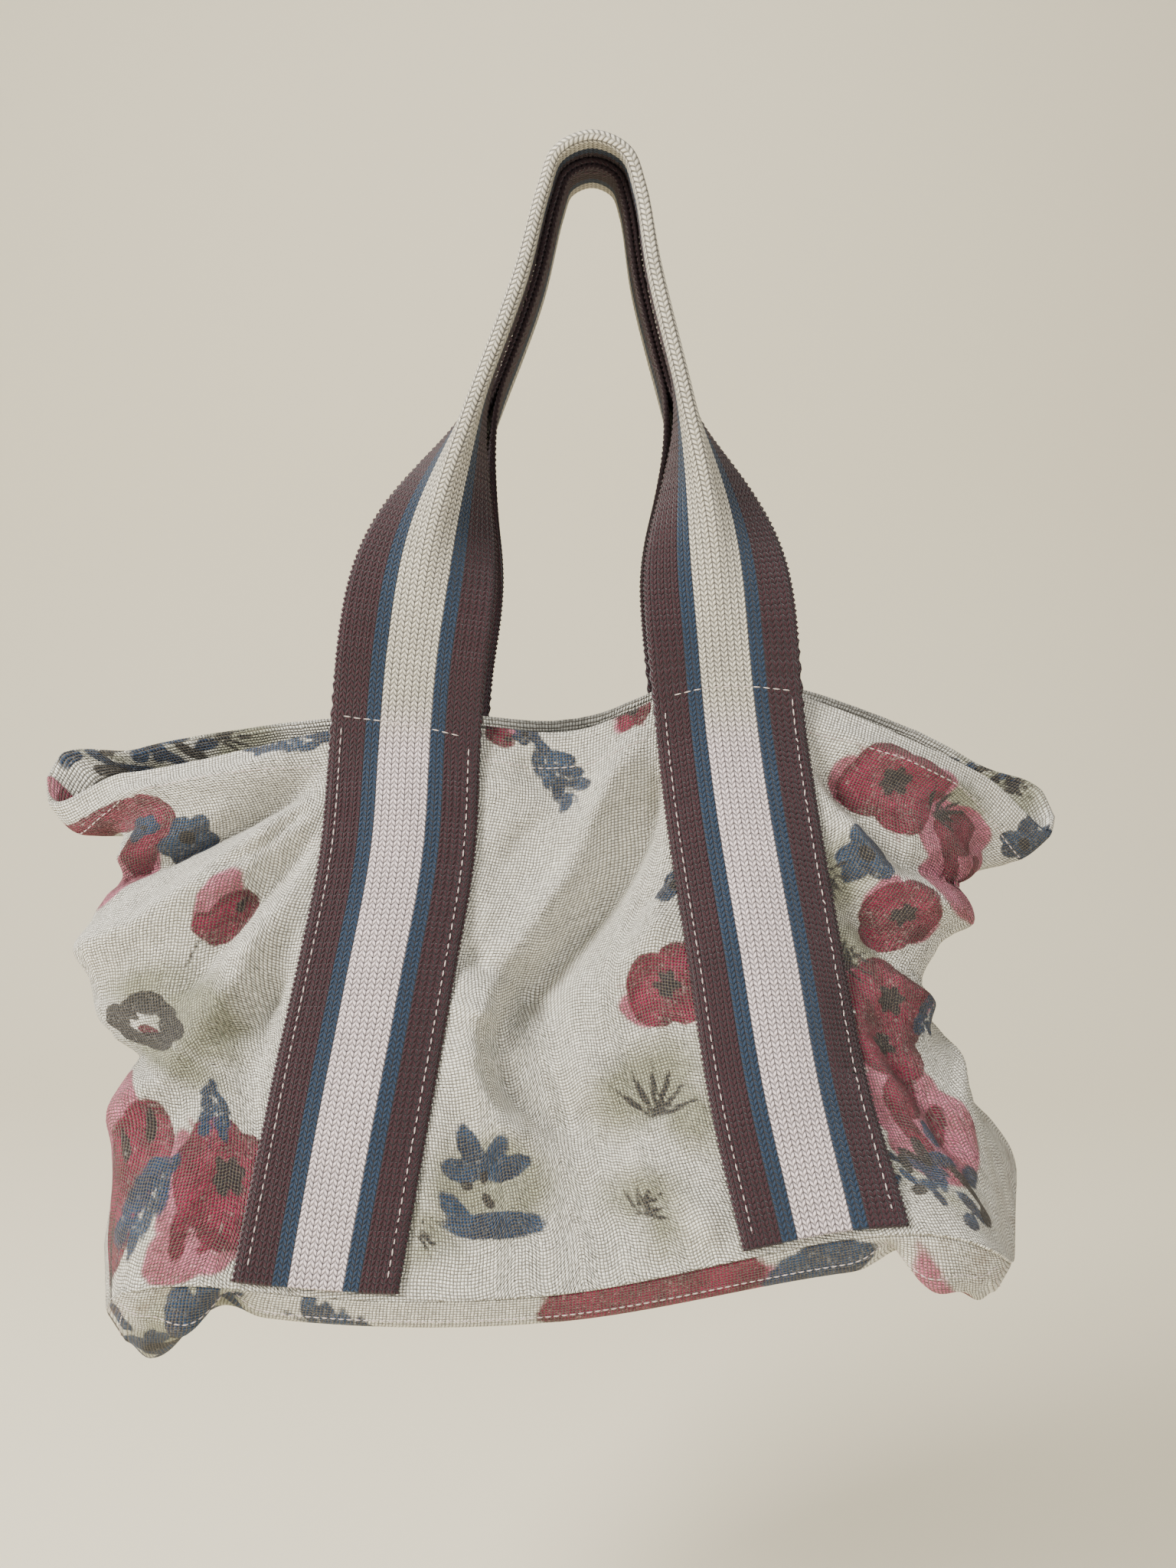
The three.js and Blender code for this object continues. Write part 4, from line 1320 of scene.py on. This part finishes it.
    def welts(self) -> None:
        """The topstitching along the base's four welts."""
        s = self.sizes
        inset = s.welt_width - 2.5
        normals = -normals_of(self.base.points)
        length, depth = s.base_length, s.base_depth
        rows = {
            "front": ((4, inset), (length - 4, inset)),
            "back": ((4, depth - inset), (length - 4, depth - inset)),
            "left_end": ((inset, 8), (inset, depth - 8)),
            "right_end": ((length - inset, 8), (length - inset, depth - 8)),
        }
        for place, (start, end) in rows.items():
            share = np.linspace(0, 1, 300)[:, None]
            path = lerp(np.array(start, float), np.array(end, float), share)
            laid = self.on_grid(self.base.points, self.base.flat, normals, path)
            row = StitchRow(f"{place}_base_thread", pitch=3.2, dash=2.4)
            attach(row.build([laid]), "bag")

    def build(self) -> None:
        """Makes every row."""
        self.hems()
        self.straps_down()
        self.grips()
        self.welts()


# ---- Finishes ----------------------------------------------------------------------------


class Shader:
    """A short way to write a node tree: each call adds a node and returns its output."""

    def __init__(self, tree: bpy.types.NodeTree) -> None:
        """Args:
            tree: the tree to build in.
        """
        self.tree = tree

    def add(self, kind: str, **settings: object) -> bpy.types.Node:
        """A new node with some of its properties set."""
        node = self.tree.nodes.new(kind)
        for key, value in settings.items():
            setattr(node, key, value)
        return node

    def put(self, socket: bpy.types.NodeSocket, value: object) -> None:
        """Links an output to a socket, or sets the socket's own value."""
        if isinstance(value, bpy.types.NodeSocket):
            self.tree.links.new(value, socket)
        elif value is not None:
            socket.default_value = value

    def math(self, operation: str, a: object, b: object = None, c: object = None,
             clamp: bool = False) -> bpy.types.NodeSocket:
        """A maths node."""
        node = self.add("ShaderNodeMath", operation=operation, use_clamp=clamp)
        for socket, value in zip(node.inputs, (a, b, c)):
            self.put(socket, value)
        return node.outputs[0]

    def times(self, a: object, b: object) -> bpy.types.NodeSocket:
        """The product of two values."""
        return self.math("MULTIPLY", a, b)

    def plus(self, a: object, b: object) -> bpy.types.NodeSocket:
        """The sum of two values."""
        return self.math("ADD", a, b)

    def less(self, a: object, b: object) -> bpy.types.NodeSocket:
        """The first value less the second."""
        return self.math("SUBTRACT", a, b)

    def scaled(self, a: object, by: object, more: object,
               clamp: bool = False) -> bpy.types.NodeSocket:
        """A value times another, and some more."""
        return self.math("MULTIPLY_ADD", a, by, more, clamp)

    def absolute(self, a: object) -> bpy.types.NodeSocket:
        """A value without its sign."""
        return self.math("ABSOLUTE", a)

    def split(self, vector: object) -> list[bpy.types.NodeSocket]:
        """A vector's three parts."""
        node = self.add("ShaderNodeSeparateXYZ")
        self.put(node.inputs[0], vector)
        return list(node.outputs)

    def joined(self, x: object, y: object) -> bpy.types.NodeSocket:
        """A vector of two values."""
        node = self.add("ShaderNodeCombineXYZ")
        self.put(node.inputs[0], x)
        self.put(node.inputs[1], y)
        return node.outputs[0]

    def tone(self, value: object) -> bpy.types.NodeSocket:
        """A grey colour of a value."""
        node = self.add("ShaderNodeCombineColor")
        for socket in node.inputs:
            self.put(socket, value)
        return node.outputs[0]

    def attribute(self, name: str, output: str) -> bpy.types.NodeSocket:
        """What a mesh stores at each point under a name."""
        return self.add("ShaderNodeAttribute", attribute_name=name).outputs[output]

    def mix(self, share: object, a: object, b: object, blend: str = "MIX") -> bpy.types.NodeSocket:
        """Mixes two colours."""
        node = self.add("ShaderNodeMix", data_type="RGBA", blend_type=blend)
        self.put(node.inputs[0], share)
        self.put(node.inputs[6], a)
        self.put(node.inputs[7], b)
        return node.outputs[2]

    def step(self, value: object, low: float, high: float) -> bpy.types.NodeSocket:
        """A smooth step between two values."""
        node = self.add("ShaderNodeMapRange", interpolation_type="SMOOTHSTEP")
        for socket, put in zip(node.inputs, (value, low, high, 0.0, 1.0)):
            self.put(socket, put)
        return node.outputs[0]

    def noise(self, vector: object, scale: float, detail: float = 2.0,
              rough: float = 0.5) -> bpy.types.NodeSocket:
        """Noise from 0 to 1."""
        node = self.add("ShaderNodeTexNoise")
        self.put(node.inputs["Vector"], vector)
        self.put(node.inputs["Scale"], scale)
        self.put(node.inputs["Detail"], detail)
        self.put(node.inputs["Roughness"], rough)
        return node.outputs["Fac"]

    def bump(self, height: object, strength: float, distance: float,
             normal: object = None) -> bpy.types.NodeSocket:
        """A bumped normal; the distance is in metres."""
        node = self.add("ShaderNodeBump")
        self.put(node.inputs["Strength"], strength)
        self.put(node.inputs["Distance"], distance)
        self.put(node.inputs["Height"], height)
        self.put(node.inputs["Normal"], normal)
        return node.outputs[0]


def new_group(name: str, inputs: dict[str, str], outputs: dict[str, str]) -> tuple:
    """A node group with its sockets made.

    Args:
        name: its name.
        inputs: each input's socket kind by name.
        outputs: each output's socket kind by name.

    Returns:
        The group, a Shader for it, its input node and its output node.
    """
    tree = bpy.data.node_groups.new(name, "ShaderNodeTree")
    for way, sockets in (("INPUT", inputs), ("OUTPUT", outputs)):
        for label, kind in sockets.items():
            tree.interface.new_socket(name=label, in_out=way, socket_type=kind)
    made = Shader(tree)
    return tree, made, made.add("NodeGroupInput"), made.add("NodeGroupOutput")


VALUE, VECTOR, COLOUR = "NodeSocketFloat", "NodeSocketVector", "NodeSocketColor"


def weave_group() -> bpy.types.NodeTree:
    """Plain weave from cloth coordinates in metres: its height, its gaps and its yarns."""
    tree, sh, given, back = new_group(
        "plain weave", {"Cloth": VECTOR, "Pitch": VALUE},
        {"Height": VALUE, "Gap": VALUE, "Yarn": VALUE, "Slub": VALUE})
    wander = sh.add("ShaderNodeTexNoise", noise_dimensions="2D")
    sh.put(wander.inputs["Vector"], given.outputs["Cloth"])
    sh.put(wander.inputs["Scale"], 260.0)
    sh.put(wander.inputs["Detail"], 2.0)
    shift = sh.add("ShaderNodeVectorMath", operation="MULTIPLY_ADD")
    sh.put(shift.inputs[0], wander.outputs["Color"])
    shift.inputs[1].default_value = (0.0005, 0.0005, 0)
    sh.put(shift.inputs[2], given.outputs["Cloth"])
    u, v = (sh.math("DIVIDE", part, given.outputs["Pitch"])
            for part in sh.split(shift.outputs[0])[:2])
    # a yarn's roundness is the sine across it, and its rise over the next is the sine along it
    over_u, over_v = (sh.absolute(sh.math("SINE", sh.times(part, math.pi))) for part in (u, v))
    whole_u, whole_v = sh.math("FLOOR", u), sh.math("FLOOR", v)
    odd = sh.absolute(sh.math("MODULO", sh.plus(whole_u, whole_v), 2.0))
    even = sh.less(1.0, odd)
    warp = sh.times(over_u, sh.math("POWER", over_v, 0.6))
    weft = sh.times(over_v, sh.math("POWER", over_u, 0.6))
    height = sh.plus(sh.times(warp, odd), sh.times(weft, even))
    gap = sh.less(1.0, sh.step(sh.times(over_u, over_v), 0.0, 0.4))
    # noise drawn out along each yarn
    long_u = sh.joined(sh.times(whole_u, 3.7), sh.times(v, 0.11))
    long_v = sh.joined(sh.times(u, 0.11), sh.times(whole_v, 3.7))
    yarn = sh.plus(sh.times(sh.noise(long_u, 1.0), odd), sh.times(sh.noise(long_v, 1.0), even))
    slub = sh.math("MAXIMUM", sh.step(sh.noise(long_u, 1.7), 0.66, 0.74),
                   sh.step(sh.noise(long_v, 1.9), 0.66, 0.74))
    for label, value in (("Height", height), ("Gap", gap), ("Yarn", yarn), ("Slub", slub)):
        sh.put(back.inputs[label], value)
    return tree


def knit_group() -> bpy.types.NodeTree:
    """Warp-knitted webbing from cloth coordinates: columns of small Vs between narrow ribs."""
    tree, sh, given, back = new_group(
        "webbing knit", {"Cloth": VECTOR, "Column": VALUE, "Row": VALUE},
        {"Height": VALUE, "Hole": VALUE, "Stitch": VALUE})
    x, y, _ = sh.split(given.outputs["Cloth"])
    u = sh.math("DIVIDE", x, given.outputs["Column"])
    v = sh.math("DIVIDE", y, given.outputs["Row"])
    across = sh.less(sh.math("FRACT", u), 0.5)
    arm = sh.absolute(across)
    lean = sh.plus(v, sh.times(arm, 1.5))
    ply = sh.absolute(sh.math("SINE", sh.times(lean, math.pi)))
    groove = sh.step(arm, 0.5, 0.40)
    valley = sh.step(arm, 0.0, 0.09)
    body = sh.times(sh.math("POWER", ply, 0.55), sh.times(groove, sh.scaled(valley, 0.4, 0.6)))
    low = sh.less(1.0, sh.step(ply, 0.0, 0.5))
    hole = sh.times(low, sh.step(arm, 0.16, 0.40))
    seed = sh.joined(sh.times(sh.math("FLOOR", u), 2.3), sh.times(sh.math("FLOOR", lean), 1.7))
    for label, value in (("Height", body), ("Hole", hole), ("Stitch", sh.noise(seed, 3.1))):
        sh.put(back.inputs[label], value)
    return tree


GROUPS: dict[Callable, bpy.types.NodeTree] = {}


def group_node(sh: Shader, make: Callable[[], bpy.types.NodeTree]) -> bpy.types.Node:
    """An instance of one of the shared groups, which is made on first use."""
    if make not in GROUPS:
        GROUPS[make] = make()
    return sh.add("ShaderNodeGroup", node_tree=GROUPS[make])


def darker(colour: tuple, share: float) -> tuple:
    """A share of a colour."""
    return tuple(share * c for c in colour[:3]) + (1,)


@dataclass(frozen=True)
class Finish:
    """A finish, made into a material once and then shared."""

    name: str

    def material(self) -> bpy.types.Material:
        """The finish as a material, made on first use."""
        if self.name not in bpy.data.materials:
            made = bpy.data.materials.new(self.name)
            made.use_nodes = True
            self.dress(Shader(made.node_tree), made.node_tree.nodes["Principled BSDF"])
        return bpy.data.materials[self.name]

    def dress(self, sh: Shader, shader: bpy.types.Node) -> None:
        """Builds the finish's nodes.

        Args:
            sh: writes the material's node tree.
            shader: the tree's Principled shader.
        """
        raise NotImplementedError

    def constants(self, shader: bpy.types.Node, **values: float) -> None:
        """Sets some of the shader's own values, named as its sockets are with _ for a space."""
        for label, value in values.items():
            shader.inputs[label.replace("_", " ")].default_value = value


@dataclass(frozen=True)
class Canvas(Finish):
    """Printed cotton canvas in an open plain weave; the reverse shows the print faintly on a
    greyer, darker ground, which is painted shade.
    """

    strength: float = 1.0
    ground: tuple = (0.93, 0.90, 0.78, 1)
    # painted shade seen in the open weave's gaps
    gap_shade: tuple = (0.17, 0.14, 0.095, 1)
    red: tuple = (0.25, 0.003, 0.044, 1)
    deep_red: tuple = (0.095, 0.001, 0.016, 1)
    pink: tuple = (0.56, 0.10, 0.21, 1)
    blue: tuple = (0.012, 0.048, 0.115, 1)
    navy: tuple = (0.007, 0.018, 0.045, 1)
    olive: tuple = (0.27, 0.28, 0.16, 1)
    black: tuple = (0.014, 0.014, 0.017, 1)
    # painted shade for the hanging corners and the base's rims
    dirt: tuple = (0.22, 0.12, 0.06, 1)
    pitch: float = 0.00130

    def dress(self, sh: Shader, shader: bpy.types.Node) -> None:
        """Builds the finish's nodes."""
        cloth = sh.add("ShaderNodeUVMap", uv_map="cloth").outputs[0]
        weave = group_node(sh, weave_group)
        sh.put(weave.inputs["Cloth"], cloth)
        weave.inputs["Pitch"].default_value = self.pitch
        sh.put(shader.inputs["Base Color"], self.colours(sh, cloth, weave))
        fuzz = sh.noise(cloth, 2600.0, 3.0, 0.7)
        height = sh.scaled(fuzz, 0.3, weave.outputs["Height"])
        fine = sh.bump(height, 1.0, 0.0012)
        crumple = sh.noise(cloth, 60.0, 5.0, 0.6)
        sh.put(shader.inputs["Normal"], sh.bump(crumple, 0.55, 0.004, fine))
        sh.put(shader.inputs["Roughness"], sh.scaled(weave.outputs["Yarn"], 0.12, 0.82))
        self.constants(shader, Sheen_Weight=0.12, Sheen_Roughness=0.45, Specular_IOR_Level=0.25)

    def inks(self, sh: Shader, cloth: bpy.types.NodeSocket) -> list[tuple]:
        """Each ink with how deep inside its edge a place is, its cover and softness; then painted
        shade.
        """
        red, pink, blue = sh.split(sh.attribute("print_a", "Vector"))
        olive, black, corner_shade = sh.split(sh.attribute("print_b", "Vector"))
        pooled = sh.step(sh.noise(cloth, 85.0, 4.0, 0.6), 0.32, 0.68)
        rim = sh.scaled(sh.step(red, 0.98, 0.62), 0.3, pooled, True)
        reds = sh.mix(rim, self.red, self.deep_red)
        pinks = sh.mix(sh.times(pooled, 0.85), self.pink, self.red)
        blues = sh.mix(pooled, self.blue, self.navy)
        return [(olive, self.olive, 0.82, 0.62), (pink, pinks, 0.92, 0.22),
                (red, reds, 0.99, 0.12), (blue, blues, 0.99, 0.12),
                (black, self.black, 0.97, 0.08), (corner_shade, self.dirt, 0.0, 1.0)]

    def colours(self, sh: Shader, cloth: bpy.types.NodeSocket,
                weave: bpy.types.Node) -> bpy.types.NodeSocket:
        """Ground, inks, yarns, painted shade in the pinholes and at the hanging corners."""
        cloudy = sh.noise(cloth, 22.0, 4.0, 0.6)
        colour = sh.mix(cloudy, self.ground, darker(self.ground, 0.84))
        ragged = sh.less(sh.noise(cloth, 170.0, 5.0, 0.65), 0.5)
        bare = sh.times(sh.step(sh.noise(cloth, 620.0, 3.0, 0.6), 0.5, 0.68),
                       weave.outputs["Height"])
        worn = sh.scaled(bare, -0.22, 1.0)
        *inks, (corner_shade, dirt, _, _) = self.inks(sh, cloth)
        for depth, ink, cover, soft in inks:
            edge = sh.scaled(ragged, 0.36, depth)
            mask = sh.step(edge, 0.5 - soft / 2, 0.5 + soft / 2)
            share = sh.times(sh.times(mask, worn), cover * self.strength)
            colour = sh.mix(share, colour, ink)
        # the yarns' own random tone, times painted shade that darkens the weave's low places
        tone = sh.scaled(weave.outputs["Yarn"], 0.95, 0.62)
        tone = sh.times(tone, sh.scaled(weave.outputs["Height"], 0.42, 0.75))
        colour = sh.mix(1.0, colour, sh.tone(tone), "MULTIPLY")
        colour = sh.mix(sh.times(weave.outputs["Slub"], 0.16), colour, self.ground)
        # painted shade in the gaps between the yarns
        colour = sh.mix(sh.times(weave.outputs["Gap"], 0.9), colour, self.gap_shade)
        # painted shade at the hanging corners and seams, mottled by noise
        mottled_shade = sh.times(corner_shade, sh.step(sh.noise(cloth, 75.0, 5.0, 0.65), 0.4, 0.72))
        return sh.mix(sh.times(mottled_shade, 0.7), colour, dirt)


@dataclass(frozen=True)
class Knit(Finish):
    """Striped knitted webbing: dark red edges, a blue line inside them, a pale middle."""

    maroon: tuple = (0.038, 0.012, 0.016, 1)
    blue: tuple = (0.016, 0.034, 0.066, 1)
    pale: tuple = (0.76, 0.64, 0.635, 1)
    cream: tuple = (0.64, 0.59, 0.475, 1)
    # painted shade in the knit's holes
    gap_shade: tuple = (0.022, 0.012, 0.014, 1)
    width: float = 0.064
    columns: int = 21
    edge_columns: int = 5
    line_columns: int = 2
    blur: float = 0.0002

    def dress(self, sh: Shader, shader: bpy.types.Node) -> None:
        """Builds the finish's nodes."""
        cloth = sh.add("ShaderNodeUVMap", uv_map="cloth").outputs[0]
        knit = group_node(sh, knit_group)
        sh.put(knit.inputs["Cloth"], cloth)
        knit.inputs["Column"].default_value = self.width / self.columns
        knit.inputs["Row"].default_value = KNIT_ROW
        away = sh.absolute(sh.less(sh.split(cloth)[0], self.width / 2))
        column = self.width / self.columns
        half_pale = (self.columns / 2 - self.edge_columns - self.line_columns) * column
        half_blue = (self.columns / 2 - self.edge_columns) * column
        wobble = sh.times(sh.less(sh.noise(cloth, 900.0), 0.5), 0.0009)
        away = sh.plus(away, wobble)
        blue, maroon = (sh.step(away, edge - self.blur, edge + self.blur)
                        for edge in (half_pale, half_blue))
        sewn = sh.attribute("sewn", "Fac")
        middle = sh.mix(sewn, self.cream, self.pale)
        colour = sh.mix(maroon, sh.mix(blue, middle, self.blue), self.maroon)
        cloud = sh.scaled(sh.noise(cloth, 40.0, 4.0), 0.35, 0.82)
        tone = sh.times(cloud, sh.scaled(knit.outputs["Stitch"], 0.5, 0.75))
        # painted shade: the knit's low places are darkened
        tone = sh.times(tone, sh.scaled(knit.outputs["Height"], 0.85, 0.3))
        colour = sh.mix(1.0, colour, sh.tone(tone), "MULTIPLY")
        # painted shade in the knit's holes
        colour = sh.mix(sh.times(knit.outputs["Hole"], 0.92), colour, self.gap_shade)
        sh.put(shader.inputs["Base Color"], colour)
        fuzz = sh.noise(cloth, 3000.0, 3.0, 0.7)
        height = sh.plus(knit.outputs["Height"], sh.times(fuzz, 0.22))
        sh.put(shader.inputs["Normal"], sh.bump(height, 1.0, 0.0013))
        sh.put(shader.inputs["Roughness"], sh.scaled(knit.outputs["Stitch"], 0.15, 0.74))
        self.constants(shader, Sheen_Weight=0.15, Sheen_Roughness=0.4, Specular_IOR_Level=0.3)


@dataclass(frozen=True)
class Thread(Finish):
    """Twisted sewing thread."""

    colour: tuple = (0.62, 0.52, 0.47, 1)

    def dress(self, sh: Shader, shader: bpy.types.Node) -> None:
        """Builds the finish's nodes."""
        here = sh.add("ShaderNodeTexCoord").outputs["Object"]
        twist = sh.noise(here, 2400.0, 2.0)
        shade = sh.mix(twist, self.colour, darker(self.colour, 0.6))
        sh.put(shader.inputs["Base Color"], shade)
        sh.put(shader.inputs["Normal"], sh.bump(twist, 0.6, 0.0003))
        sh.put(shader.inputs["Roughness"], sh.scaled(twist, 0.2, 0.55))
        self.constants(shader, Sheen_Weight=0.2)


@dataclass(frozen=True)
class Paper(Finish):
    """Plain pale surface of the studio."""

    colour: tuple = (0.80, 0.735, 0.565, 1)

    def dress(self, sh: Shader, shader: bpy.types.Node) -> None:
        """Builds the finish's nodes."""
        here = sh.add("ShaderNodeTexCoord").outputs["Object"]
        cloud = sh.noise(here, 1.3, 3.0)
        shade = sh.mix(cloud, self.colour, darker(self.colour, 0.95))
        sh.put(shader.inputs["Base Color"], shade)
        sh.put(shader.inputs["Normal"], sh.bump(sh.noise(here, 900.0, 3.0), 0.1, 0.0005))
        self.constants(shader, Roughness=0.9)


CANVAS_FACE = Canvas("printed canvas", 1.0)
# the bag's inside: the fainter print is real, the darker grey ground is painted shade
CANVAS_REVERSE = Canvas("canvas reverse", 0.75, ground=(0.46, 0.46, 0.41, 1))
WEBBING = Knit("striped webbing")
THREAD = Thread("sewing thread")
GRIP_THREAD = Thread("dark sewing thread", (0.07, 0.03, 0.035, 1))
STUDIO_PAPER = Paper("studio paper")


# ---- Studio ------------------------------------------------------------------------------


@dataclass
class Studio:
    """A pale floor and wall in one sweep, soft lights, and the camera."""

    floor: float = -0.72
    wall: float = 1.9
    half_width: float = 3.4
    near: float = -2.6
    height: float = 2.4
    camera_at: tuple = (-0.00165, -0.725, -0.200)
    camera_pitch: float = 5.0
    lens: float = 37.28
    bend: float = 0.8
    aim: tuple = (0, 0, -0.25)
    # each light's name, place, size, power and colour
    lamps: tuple = (
        ("key", (-1.35, -1.0, 0.85), 0.7, 82, (1.0, 0.97, 0.93)),
        ("fill", (0.3, -1.6, -0.1), 1.0, 15, (0.98, 0.98, 1.0)),
        ("top", (-0.1, 0.6, 1.7), 1.6, 30, (1.0, 0.98, 0.96)),
    )
    air: tuple = (1.0, 0.975, 0.93, 1)
    air_strength: float = 0.50

    def sweep(self) -> None:
        """The floor that curves up into the wall."""
        bend = self.bend
        side = [(self.near, self.floor)]
        side += [(self.wall - bend + bend * math.sin(t), self.floor + bend * (1 - math.cos(t)))
                 for t in np.linspace(0, math.pi / 2, 16)]
        side += [(self.wall, self.height)]
        rows = [[(x, y, z) for x in (-self.half_width, self.half_width)] for y, z in side]
        piece = new_piece("studio_sweep", np.array(rows) / MM, grid_faces(len(rows), 2, flip=True))
        piece.data.materials.append(STUDIO_PAPER.material())

    def light(self, name: str, at: tuple, size: float, power: float, colour: tuple) -> None:
        """A square soft light aimed at the bag."""
        lamp = bpy.data.lights.new(name, "AREA")
        lamp.size, lamp.energy, lamp.color = size, power, colour
        made = bpy.data.objects.new(name, lamp)
        aim = Vector(self.aim) - Vector(at)
        made.location = at
        made.rotation_euler = aim.to_track_quat("-Z", "Y").to_euler()
        bpy.context.scene.collection.objects.link(made)

    def camera(self) -> None:
        """The camera in front of the bag, a little tilted down."""
        lens = bpy.data.cameras.new("camera")
        lens.lens = self.lens
        lens.sensor_width = 36
        made = bpy.data.objects.new("camera", lens)
        made.location = self.camera_at
        made.rotation_euler = (math.radians(90 - self.camera_pitch), 0, 0)
        bpy.context.scene.collection.objects.link(made)
        bpy.context.scene.camera = made

    def build(self) -> None:
        """Sets up the room."""
        self.sweep()
        for lamp in self.lamps:
            self.light(*lamp)
        self.camera()
        world = bpy.data.worlds.new("room")
        bpy.context.scene.world = world
        world.use_nodes = True
        back = world.node_tree.nodes["Background"]
        back.inputs[0].default_value = self.air
        back.inputs[1].default_value = self.air_strength


# ---- The bag -----------------------------------------------------------------------------


class ToteBag:
    """Builds every piece of the bag in order."""

    def __init__(self) -> None:
        """Sets out the parts from one drape."""
        self.drape = Drape()
        self.front = Panel(Side.FRONT, self.drape, FRONT_FOLDS, FRONT_PRINT)
        self.back = Panel(Side.BACK, self.drape, BACK_FOLDS, BACK_PRINT)
        self.base = Base(self.drape)
        self.straps = {side: Webbing(side, self.drape) for side in Side}

    def build(self) -> None:
        pieces = [part.build() for part in (self.front, self.back, self.base)]
        webbing = [strap.build() for strap in self.straps.values()]
        Stitching(self.front, self.back, self.base, self.straps).build()
        LOG.info("made %s", ", ".join(piece.name for piece in pieces + webbing))


def main() -> None:
    """Builds the bag and its studio."""
    ToteBag().build()
    Studio().build()


if __name__ == "__main__":
    logging.basicConfig(level=logging.INFO)
    main()
